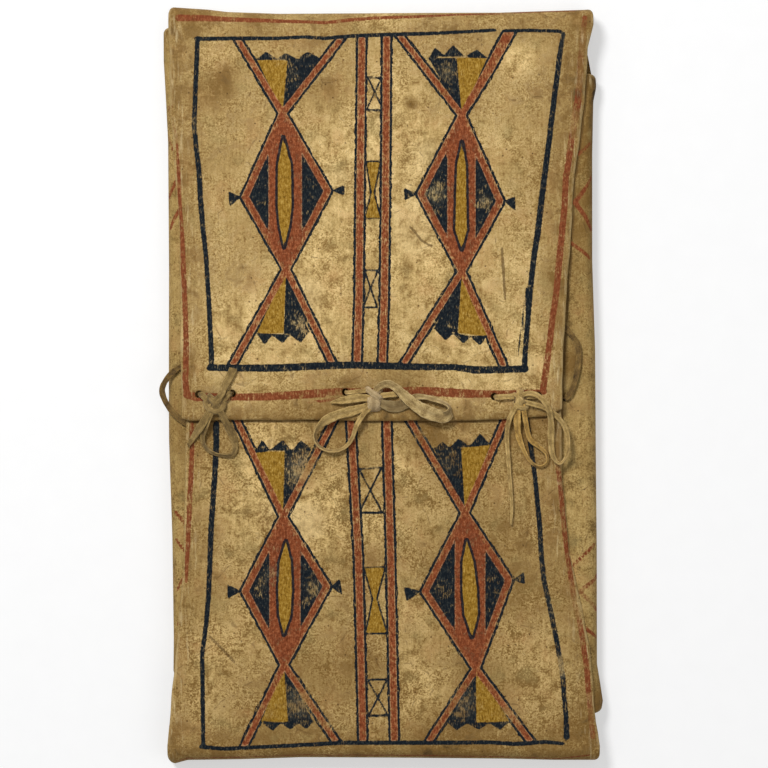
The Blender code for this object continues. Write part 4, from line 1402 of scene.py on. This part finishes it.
class Shader:
    """Adds linked nodes to a new material or world with short calls."""

    def __init__(self, owner, shader="Principled BSDF"):
        owner.use_nodes = True
        self.owner = owner
        self.tree = owner.node_tree
        self.shader = self.tree.nodes[shader]

    def node(self, kind, inputs, output=0, **settings):
        made = self.tree.nodes.new(kind)
        for key, value in settings.items():
            setattr(made, key, value)
        for socket, value in inputs.items():
            self.put(made.inputs[socket], value)
        return made.outputs[output]

    def put(self, socket, value):
        if isinstance(value, bpy.types.NodeSocket):
            self.tree.links.new(value, socket)
        else:
            socket.default_value = value

    def attribute(self, name, output="Fac"):
        return self.node("ShaderNodeAttribute", {}, output, attribute_name=name)

    def math(self, operation, a, b=0.0):
        return self.node("ShaderNodeMath", {0: a, 1: b}, operation=operation)

    def times(self, *values):
        product = values[0]
        for value in values[1:]:
            product = self.math("MULTIPLY", product, value)
        return product

    def around(self, middle, *parts):
        """middle plus each (value, weight)'s share of its distance from a half."""
        total = None
        for value, weight in parts:
            share = self.math("MULTIPLY", value, weight)
            total = share if total is None else self.math("ADD", total, share)
        return self.math("ADD", total, middle - sum(weight for _, weight in parts) / 2)

    def ramp(self, value, low, high, start=0.0, stop=1.0):
        """start below low, stop above high, and a smooth step between them."""
        places = {"From Min": low, "From Max": high, "To Min": start, "To Max": stop}
        inputs = {"Value": value, **places}
        return self.node("ShaderNodeMapRange", inputs, interpolation_type="SMOOTHSTEP")

    def tones(self, value, colours, places=(0.2, 0.5, 0.8)):
        """Runs from the dark to the light of (light, middle, dark) colours."""
        return self.colours(value, *zip(places, map(srgb, reversed(colours))))

    def colours(self, value, *stops):
        """Runs through the colours of (place, colour) stops."""
        out = self.node("ShaderNodeValToRGB", {0: value})
        points = out.node.color_ramp.elements
        while len(points) < len(stops):
            points.new(0.5)
        for point, (place, colour) in zip(points, stops):
            point.position, point.color = place, colour
        return out

    def mix(self, share, a, b):
        return self.node("ShaderNodeMix", {0: share, 6: a, 7: b}, 2, data_type="RGBA")

    def marked(self, colour, share, mark):
        return self.mix(share, colour, srgb(MARKS[mark]))

    def voronoi(self, place, size, **settings):
        """The distance that cells about size mm across give."""
        inputs = {"Vector": place, "Scale": 1 / size}
        return self.node("ShaderNodeTexVoronoi", inputs, "Distance", **settings)

    def noise(self, place, size, detail=4.0, rough=0.6, distortion=0.0):
        """Noise whose features are about size mm across."""
        inputs = {"Vector": place, "Scale": 1 / size, "Detail": detail, "Roughness": rough}
        return self.node("ShaderNodeTexNoise", inputs | {"Distortion": distortion})

    def noise_colour(self, place, size):
        """Noise as a vector, from nothing to one along each axis."""
        inputs = {"Vector": place, "Scale": 1 / size, "Detail": 2.0}
        return self.node("ShaderNodeTexNoise", inputs, "Color")

    def stretch(self, place, scale):
        return self.node("ShaderNodeVectorMath", {0: place, 1: scale}, operation="MULTIPLY")

    def bump(self, height, strength, distance, under=None):
        inputs = {"Height": height, "Strength": strength, "Distance": distance}
        if under is not None:
            inputs["Normal"] = under
        return self.node("ShaderNodeBump", inputs)

    def seen(self):
        """One for what the camera, a mirror or glass shows, and nothing for other light."""
        path = self.tree.nodes.new("ShaderNodeLightPath").outputs
        seen = self.math("MAXIMUM", path["Is Camera Ray"], path["Is Glossy Ray"])
        return self.math("MAXIMUM", seen, path["Is Transmission Ray"])

    def finish(self, **sockets):
        for socket, value in sockets.items():
            self.put(self.shader.inputs[socket.replace("_", " ")], value)
        return self.owner


def hide_material(name, contrast):
    """Old rawhide: mottled and grained, dirty and rubbed at its edges, with worn paint and some
    painted shade.
    """
    s = Shader(bpy.data.materials.new(name))
    place = s.attribute("sheet", "Vector")
    cloud = s.noise(place, 55.0, 3.0, 0.55)
    mottle = s.noise(place, 13.0, 6.0, 0.66, 0.5)
    grain = s.noise(place, 3.0, 4.0, 0.8, 0.4)
    fine = s.noise(place, 1.5, 2.0, 0.7)
    tint = s.noise(place, 26.0, 3.0, 0.6)
    streak = s.noise(s.stretch(place, (0.9, 0.09, 0.5)), 2.2, 5.0, 0.7)
    scratch = s.noise(s.stretch(place, (1.0, 0.3, 1.0)), 1.3, 3.0, 0.7)

    texture = s.around(0.0, (grain, 1.05 * contrast), (fine, 0.95 * contrast))
    texture = s.times(texture, s.ramp(s.noise(place, 34.0, 3.0, 0.6), 0.34, 0.66, 0.5, 1.3))
    tone = s.around(0.5, (cloud, 0.6), (mottle, 1.5 * contrast), (streak, 0.5))
    colour = s.tones(s.math("ADD", tone, texture), HIDES[name])
    colour = s.marked(colour, s.ramp(tint, 0.5, 0.7, 0.0, 0.38), "warm")
    colour = s.marked(colour, s.ramp(tint, 0.28, 0.48, 0.3, 0.0), "cool")

    # Dirt and clean spots, with painted shade inside the folds' mouths and round the centre bow,
    # specks, pale streaks and dots
    grime_and_shade = s.math("ADD", s.attribute("dirt_and_shade"), s.ramp(cloud, 0.56, 0.72, 0.0, 0.25))
    grime_and_shade = s.times(grime_and_shade, s.ramp(mottle, 0.34, 0.66, 0.4, 1.6))
    colour = s.marked(colour, s.ramp(grime_and_shade, -0.4, 0.0, 0.4, 0.0), "clean")
    colour = s.marked(colour, s.ramp(grime_and_shade, 0.0, 1.1, 0.0, 0.85), "stain")
    # Near black where the dirt is thickest, and as painted shade inside the folds' mouths
    colour = s.marked(colour, s.ramp(grime_and_shade, 1.1, 2.2, 0.0, 0.9), "grease_and_shade")
    specks = s.times(s.ramp(fine, 0.61, 0.69), s.ramp(cloud, 0.42, 0.56, 0.35, 0.85))
    colour = s.marked(colour, specks, "speck")
    colour = s.marked(colour, s.ramp(streak, 0.64, 0.8, 0.0, 0.3), "streak")
    dots = s.ramp(s.voronoi(place, 22.0, voronoi_dimensions="2D"), 0.02, 0.045, 1.0, 0.0)
    colour = s.marked(colour, s.times(dots, s.ramp(tint, 0.4, 0.6, 0.15, 0.85)), "dot")

    # Fine cracks, rubbed rims, the ridges and hollows of the creases beside them, and scars, with
    # the dark lines painted as the upper flap's shadows
    shift = s.stretch(s.noise_colour(place, 16.0), (9, 9, 9))
    bent = s.node("ShaderNodeVectorMath", {0: place, 1: shift})
    crack = s.ramp(s.voronoi(bent, 46.0, feature="DISTANCE_TO_EDGE"), 0.004, 0.016, 1.0, 0.0)
    crack = s.times(crack, s.ramp(mottle, 0.5, 0.62, 0.0, 0.5))
    colour = s.marked(colour, crack, "crack")
    rim = s.attribute("rim")
    rubbed = s.times(s.ramp(rim, 0.4, 2.6, 0.5, 0.0), s.ramp(mottle, 0.4, 0.6))
    colour = s.marked(colour, rubbed, "rubbed")
    crease = s.times(s.ramp(rim, 5.0, 17.0, 1.0, 0.0), s.ramp(rim, 0.0, 2.0))
    ridge = s.times(crease, s.ramp(streak, 0.52, 0.68))
    colour = s.marked(colour, s.times(ridge, 0.6), "ridge")
    colour = s.marked(colour, s.times(crease, s.ramp(streak, 0.34, 0.46, 0.42, 0.0)), "hollow")
    scar_and_shadow = s.around(0.0, (s.attribute("scar_and_shadow"), 1.0), (grain, 1.2))
    colour = s.marked(colour, s.ramp(scar_and_shadow, -0.1, 0.6, 0.7, 0.0), "scar_and_shadow")

    wobble = s.around(0.0, (s.noise(place, 5.0, 2.0), 1.1), (grain, 1.1))
    patchy = s.noise(place, 8.0, 3.0, 0.6)
    worn = s.attribute("worn")
    wear = s.math("ADD", s.around(0.5, (scratch, 1.0), (patchy, 0.7)), s.times(worn, 0.24))

    def gap(colour_name):
        return s.math("ADD", s.attribute(f"paint_{colour_name}"), wobble)

    def cover(distance, full, bare, thinnest, faintest=0.55):
        """Where paint lies: inside its outline, thinner or gone where it has rubbed off."""
        kept = s.ramp(wear, full, bare, 1.0, thinnest)
        faded = s.ramp(worn, 0.2, 1.2, 1.0, faintest)
        return s.times(s.ramp(distance, -0.3, 0.45, 1.0, 0.0), kept, faded)

    # The paints: uneven, the blue worn to slate, the red pale at its edges and chipped
    arms, lens = gap("arms"), gap("lens")
    shade = s.around(0.5, (scratch, 1.4), (grain, 1.3))
    blue = s.tones(shade, PAINTS["blue"], (0.2, 0.5, 0.85))
    slate = s.times(s.ramp(worn, 0.2, 1.0, 0.0, 0.75), s.ramp(scratch, 0.36, 0.6))
    blue = s.marked(blue, slate, "slate")
    red = s.tones(shade, PAINTS["red"], (0.25, 0.5, 0.8))
    yellow = s.tones(shade, PAINTS["yellow"])
    edge = s.times(s.ramp(arms, -0.9, -0.2, 0.0, 0.8), s.ramp(grain, 0.42, 0.56))
    old_red = s.marked(red, 0.45, "old_red")
    red = s.marked(red, s.times(edge, 0.8), "red_edge")
    red = s.marked(red, s.ramp(fine, 0.64, 0.74, 0.0, 0.45), "red_chip")

    # The blue outline stands just outside the arms, and a blue ring just outside each lens
    past = s.math("SUBTRACT", arms, s.around(2.45, (patchy, 3.4)))
    outline = s.times(s.ramp(arms, 0.0, 0.3), s.ramp(past, -0.3, 0.15, 1.0, 0.0))
    outline = s.times(outline, s.ramp(wear, 0.62, 0.75, 1.0, 0.15))
    ring = s.times(s.ramp(lens, -0.3, 0.1, 0.0, 0.95), s.ramp(lens, 1.9, 2.5, 1.0, 0.0))
    coats = (
        (outline, blue),
        (cover(gap("yellow"), 0.58, 0.85, 0.5), yellow),
        (cover(gap("blue"), 0.58, 0.78, 0.4, 0.82), blue),
        (cover(gap("red"), 0.5, 0.72, 0.3), old_red),
        (cover(arms, 0.5, 0.74, 0.42), red),
        (cover(lens, 0.6, 0.9, 0.55), yellow),
        (ring, blue),
    )
    painted = None
    for share, coat in coats:
        colour = s.mix(share, colour, coat)
        painted = share if painted is None else s.math("MAXIMUM", painted, share)

    rough = s.around(0.66, (mottle, 0.25), (grain, 0.2))
    rough = s.math("ADD", rough, s.times(painted, 0.06))
    relief = s.bump(s.around(0.5, (mottle, 1.0), (crack, -1.0), (ridge, 0.7)), 0.4, 0.0011)
    relief = s.bump(s.around(0.5, (grain, 1.0), (fine, 0.5)), 0.5, 0.0004, relief)
    relief = s.bump(painted, 0.25, 0.00012, relief)
    s.shader.inputs["Specular IOR Level"].default_value = 0.1
    return s.finish(Base_Color=colour, Roughness=rough, Normal=relief)


def thong_material(name):
    """Smoked buckskin, fibrous and matt: paler on its lips, dirt and painted shade between them,
    painted shade where it lies in shade.
    """
    s = Shader(bpy.data.materials.new(name))
    place = s.attribute("sheet", "Vector")
    fibre = s.noise(s.stretch(place, (0.35, 1.0, 1.0)), 0.8, 4.0, 0.7)
    patchy = s.noise(place, 7.0, 5.0, 0.62)
    fuzz = s.noise(place, 0.6, 3.0, 0.6)
    tone = s.around(0.5, (patchy, 1.2), (fibre, 1.0), (fuzz, 0.6))
    colour = s.tones(tone, THONGS[name], (0.22, 0.5, 0.8))
    lip = s.attribute("lip")
    # Darker between the lips, as dirt and painted shade, and most on a knot's lump
    groove = s.times(s.ramp(lip, 0.0, 0.5, 0.5, 0.0), s.ramp(fibre, 0.3, 0.6))
    colour = s.marked(colour, groove, "groove")
    pale = s.times(s.ramp(lip, 0.72, 1.0, 0.0, 0.55), s.ramp(fibre, 0.35, 0.6))
    colour = s.mix(pale, colour, srgb(THONGS[name][0]))
    # Painted shade: the knots' lumps and a strap's lengths in shade are darkened, as the deep
    # attribute says
    colour = s.marked(colour, s.times(s.attribute("deep"), 0.62), "grime_and_shade")
    rough = s.around(0.82, (fuzz, 0.3))
    relief = s.bump(patchy, 0.35, 0.0007)
    relief = s.bump(s.around(0.5, (fibre, 1.0), (fuzz, 0.5)), 0.6, 0.0003, relief)
    s.shader.inputs["Specular IOR Level"].default_value = 0.22
    s.shader.inputs["Sheen Weight"].default_value = 0.12
    s.shader.inputs["Sheen Roughness"].default_value = 0.6
    return s.finish(Base_Color=colour, Roughness=rough, Normal=relief)


def floor_material():
    """Pale floor that the camera and mirrors see as white, and that keeps the shadow."""
    s = Shader(bpy.data.materials.new("floor_paper"))
    fine = s.noise(s.node("ShaderNodeTexCoord", {}, "Object"), 0.02, 3.0)
    colour = s.mix(fine, (0.54, 0.54, 0.54, 1), (0.58, 0.58, 0.58, 1))
    strength = s.math("MULTIPLY", s.seen(), FLOOR_GLOW)
    rough = s.ramp(fine, 0.3, 0.7, 0.85, 0.95)
    s.shader.inputs["Specular IOR Level"].default_value = 0.0
    s.shader.inputs["Emission Color"].default_value = (1, 1, 1, 1)
    return s.finish(Base_Color=colour, Roughness=rough, Emission_Strength=strength)


def area_light(name, place, size, power):
    """A round lamp, in metres and watts, that aims at the object."""
    data = bpy.data.lights.new(name, "AREA")
    data.shape = "DISK"
    data.size = size
    data.energy = power
    made = bpy.data.objects.new(name, data)
    made.location = place
    made.rotation_euler = (-Vector(place)).to_track_quat("-Z", "Y").to_euler()
    bpy.context.scene.collection.objects.link(made)


def studio():
    """Camera, floor, lamps and a plain white world."""
    scene = bpy.context.scene
    camera = bpy.data.objects.new("camera", bpy.data.cameras.new("camera"))
    camera.data.sensor_width = SENSOR
    camera.data.lens = LENS
    camera.location = Vector(CAMERA_AT) * MM
    scene.collection.objects.link(camera)
    scene.camera = camera

    data = bpy.data.meshes.new("floor")
    around = ((-1, -1), (1, -1), (1, 1), (-1, 1))
    corners = [(x * FLOOR_HALF, y * FLOOR_HALF, 0) for x, y in around]
    data.from_pydata(corners, [], [(0, 1, 2, 3)])
    data.materials.append(floor_material())
    floor = bpy.data.objects.new("floor", data)
    floor.location.z = FLOOR_AT
    scene.collection.objects.link(floor)

    for lamp in LAMPS:
        area_light(*lamp)

    scene.world = bpy.data.worlds.new("studio")
    s = Shader(scene.world, "Background")
    levels = {"Value": s.seen(), "To Min": WORLD_LIGHT, "To Max": 1.0}
    s.finish(Color=(1, 1, 1, 1), Strength=s.node("ShaderNodeMapRange", levels))
    scene.view_settings.view_transform = "Standard"


def dress(piece, material, body, slot, *nodes):
    """Gives a piece its material and body, and lets it stand for CAD nodes. Its slot is not used.
    """
    piece.data.materials.clear()
    piece.data.materials.append(material)
    if body:
        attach(piece, body)
    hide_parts(*nodes)


def hide_pieces():
    """The five sheets: both end flaps and both side flaps with their folds, and the back."""
    old = hide_material("hide_upper", 1.0)
    low = hide_material("hide_lower", LOWER_CONTRAST)
    rim = hide_material("hide_sides", 1.0)
    holes = [spot for facts in TIES.values() for spot in facts["holes"]]
    outline = (UPPER_LEFT, UPPER_RIGHT, UPPER_END)
    upper = end_hide("hide_over", 1, outline, TOP_BULGE, upper_top, holes)
    outline = (LOWER_LEFT, LOWER_RIGHT, LOWER_END)
    lower = end_hide("hide_under", -1, outline, BOTTOM_BULGE, lower_top, holes)
    right = side_hide("hide_right", "right", 1)
    left = side_hide("hide_left", "left", -1)
    bends = (
        (upper, old, "top", "top_flap", "hide_outer", END_FOLD_R),
        (lower, low, "bottom", "bottom_flap", "hide_inner", END_FOLD_R),
        (right, rim, "right", "right_side_flap", "hide_side", SIDE_FOLD_R),
        (left, rim, "left", "left_side_flap", "hide_side", SIDE_FOLD_R),
    )
    for piece, material, part, flap, slot, radius in bends:
        dress(piece, material, None, slot, flap, f"{part}_fold")
        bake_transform(piece)
    dress(back_hide("hide_back"), low, "back", "hide_back", "back_panel")


def declare(places, width):
    """Works out a strap's length from where it leaves its knot or flap, and the width this allows;
    neither is kept.
    """
    length = float(np.linalg.norm(np.diff(places, axis=0), axis=1).sum())
    width = min(width, length / SHORTEST_IN_WIDTHS)


def tie_pieces():
    """The three bows, from their knots to their bights, and the two side thongs."""
    suede = {name: thong_material(name) for name in THONGS}
    special = {"inner_loop": "buckskin_gold", "right_loop": "buckskin_light"}
    for number, (tie, facts) in enumerate(TIES.items()):
        seed = TIE_SEED * number
        bow = tie.replace("tie", "bow")
        plain = "buckskin_smoked" if tie == "left_tie" else "buckskin"
        knotted = "buckskin_pale" if tie == "centre_tie" else plain
        made = knot(f"{bow}_knot", facts, seed)
        dress(made, suede[knotted], "top_flap", "thong", f"{tie}_knot")
        for turn, (part, how) in enumerate(facts["straps"].items()):
            how = {**how, "route": laid_route(how["route"]), "seed": seed + STRAP_SEED * turn}
            made, places = strap(f"{bow}_{part}", width=facts["width"], thickness=STRAP, **how)
            dress(made, suede[special.get(part, plain)], "top_flap", "thong", f"{tie}_{part}")
            declare(places, facts["width"])
        sides = zip((-1, 1), ("left_leg", "right_leg"), facts["holes"], facts["legs"])
        for side, part, hole, meets in sides:
            made = leg(f"{bow}_{part}", hole, meets, side, seed + side)
            dress(made, suede[plain], "top_flap", "thong", f"{tie}_{part}")
        made = bight(f"{bow}_bight", facts["holes"], seed)
        dress(made, suede[plain], "bottom_flap", "thong", f"{tie}_bight")

    bodies = {"right_side_thong": "right_side_flap", "left_edge_thong": "bottom_flap"}
    for number, (node, body) in enumerate(bodies.items()):
        name, route = node.replace("thong", "lace"), side_thong_route(node)
        made, places = strap(name, route, *SIDE_LACE, seed=SIDE_SEED + number)
        dress(made, suede["hide_thong"], body, "side_thong", node)
        declare(places, SIDE_LACE[0])


studio()
hide_pieces()
tie_pieces()
